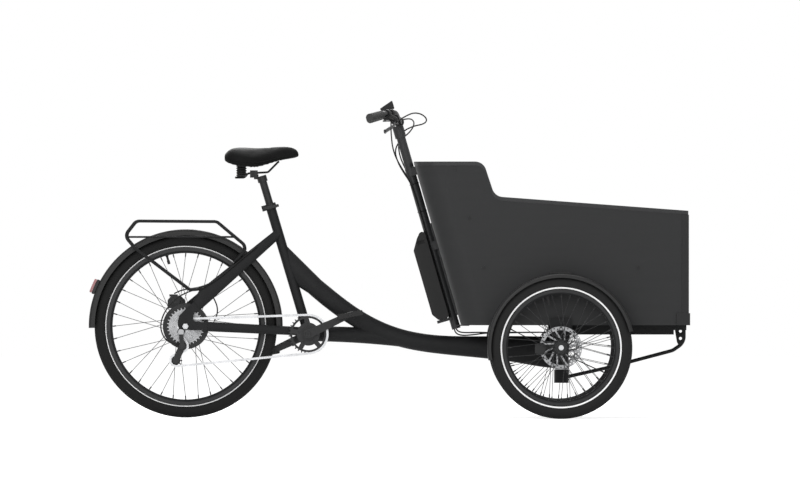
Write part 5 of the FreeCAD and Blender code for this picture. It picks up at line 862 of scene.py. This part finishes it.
def make_cables():
    """Every cable and hose."""
    look = rubber("cable_sheath", 0.012, 0.45)
    for name, points in (("gear_cable", GEAR_ROUTE), ("rear_brake_hose", BRAKE_ROUTE),
                         ("motor_lead", MOTOR_ROUTE)):
        cable(name, metres(points), look, "rear_frame", "frame_cables")
    right = [*HOSE_RIGHT, *(down_column(*place) for place in RIGHT_APPROACH),
             *along_column(HOSE_AHEAD, HOSE_SIDE, HOSE_FOOT), *UNDER_RIGHT]
    left = [*HOSE_LEFT, *(down_column(*place) for place in LEFT_APPROACH),
            *along_column(LEAD_AHEAD, -LEAD_SIDE, HOSE_FOOT), *UNDER_LEFT]
    lead = [*LEAD, *(down_column(*place) for place in LEAD_APPROACH),
            *along_column(LEAD_AHEAD, LEAD_SIDE, LEAD_FOOT)]
    for name, points in (("right_brake_hose", right), ("left_brake_hose", left), ("display_lead", lead)):
        cable(name, metres(points), look, "front_module", "steering_cables")
    crossing_cable("crossing_hose_right", -CROSSING_ASIDE, look)
    crossing_cable("crossing_hose_left", CROSSING_ASIDE, look)


# Small fittings: chainring and crank bolts, valves and straps

TURNED_SIDES = 30
# Arms of the chainring, and how far the crank is turned up
RING_ARMS = 5
CRANK_ANGLE = 25
RING_BOLT_REACH = 0.034
RIGHT_CRANK_FACE = -0.079
LEFT_CRANK_FACE = 0.081
# Radius and distance along the axis, from the seat outwards; the last two rings are a hexagon socket
RING_BOLT = ((0.0048, -0.0004), (0.0048, 0.0014), (0.0042, 0.002), (0.0026, 0.002), (0.0024, 0.0008))
CRANK_BOLT = ((0.0095, -0.0004), (0.0095, 0.0018), (0.0085, 0.003), (0.0046, 0.003), (0.0043, 0.001))
# Rubber base, threaded stem and cap of a valve
VALVE = ((0.0056, -0.001), (0.0056, 0.004), (0.0041, 0.005), (0.0041, 0.018), (0.0052, 0.0185),
         (0.0052, 0.030), (0.0044, 0.032))
VALVE_TURN = math.radians(105)
REAR_VALVE_REACH = 0.262
FRONT_VALVE_REACH = 0.1895
STRAP_RADIUS = 0.0013
# Round the column and its hoses: ahead of the column's line and aside, in millimetres
STRAP_LOOP = ((17.6, 0), (13, 12.6), (2, 25.6), (-9, 24.4), (-15.5, 14), (-17.8, 0), (-14.5, -18),
              (-9, -24.4), (-1, -19.4), (13, -12.6))
STRAP_HEIGHTS = (738, 836)


def turned(name, profile, at, along, look, body, socket=False):
    """A turned piece along an axis, with its last two rings drawn as a hexagon if it has a socket."""
    turn = along.to_track_quat("Z", "Y")
    rows = []
    for number, (radius, step) in enumerate(profile):
        ring = []
        for side in range(TURNED_SIDES):
            angle = 2 * math.pi * side / TURNED_SIDES
            reach = radius
            if socket and number >= len(profile) - 2:
                reach = radius * math.cos(math.pi / 6) / math.cos(angle % (math.pi / 3) - math.pi / 6)
            ring.append(at + turn @ Vector((reach * math.cos(angle), reach * math.sin(angle), step)))
        rows.append(ring)
    mesh = bmesh.new()
    capped(mesh, rows)
    piece = piece_from(name, mesh, [look], body)
    smooth(piece.data, 35)


def make_bolts(look):
    """Socket bolts of the chainring and of both cranks."""
    low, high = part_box("chainring")
    middle = (low + high) / 2
    right = Vector((0, -1, 0))
    for number in range(RING_ARMS):
        angle = 2 * math.pi * number / RING_ARMS - math.radians(CRANK_ANGLE)
        at = Vector((middle.x + RING_BOLT_REACH * math.cos(angle), low.y,
                     middle.z - RING_BOLT_REACH * math.sin(angle)))
        turned(f"chainring_bolt_{number + 1}", RING_BOLT, at, right, look, "crankset", True)
    for side, face, out in (("right", RIGHT_CRANK_FACE, right), ("left", LEFT_CRANK_FACE, -right)):
        at = Vector((middle.x, face, middle.z))
        turned(f"crank_bolt_{side}", CRANK_BOLT, at, out, look, "crankset", True)


def make_valves(look):
    """A valve through the rim of each wheel."""
    out = Vector((math.cos(VALVE_TURN), 0, math.sin(VALVE_TURN)))
    wheels = [("rear_wheel", REAR_AXLE, REAR_VALVE_REACH)]
    for side, sign in FRONT_SIDES:
        wheels.append((f"front_wheel_{side}", front_axle(sign), FRONT_VALVE_REACH))
    for body, axle, reach in wheels:
        turned(body + "_valve", VALVE, Vector(axle) + out * reach, -out, look, body)


def make_straps(look):
    """Straps that hold the hoses and the lead to the column."""
    for number, height in enumerate(STRAP_HEIGHTS):
        points = metres([down_column(height, ahead, aside) for ahead, aside in STRAP_LOOP])
        piece = tube(f"column_strap_{number + 1}", points, STRAP_RADIUS, look, closed=True)
        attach(piece, "front_module")


make_camera()
make_floor()
make_surroundings()
make_lamps()
black_plastic, black_alloy = dress_frame()
make_tyres()
make_saddle(black_plastic)
make_cables()
make_bolts(black_alloy)
make_valves(black_plastic)
make_straps(black_plastic)
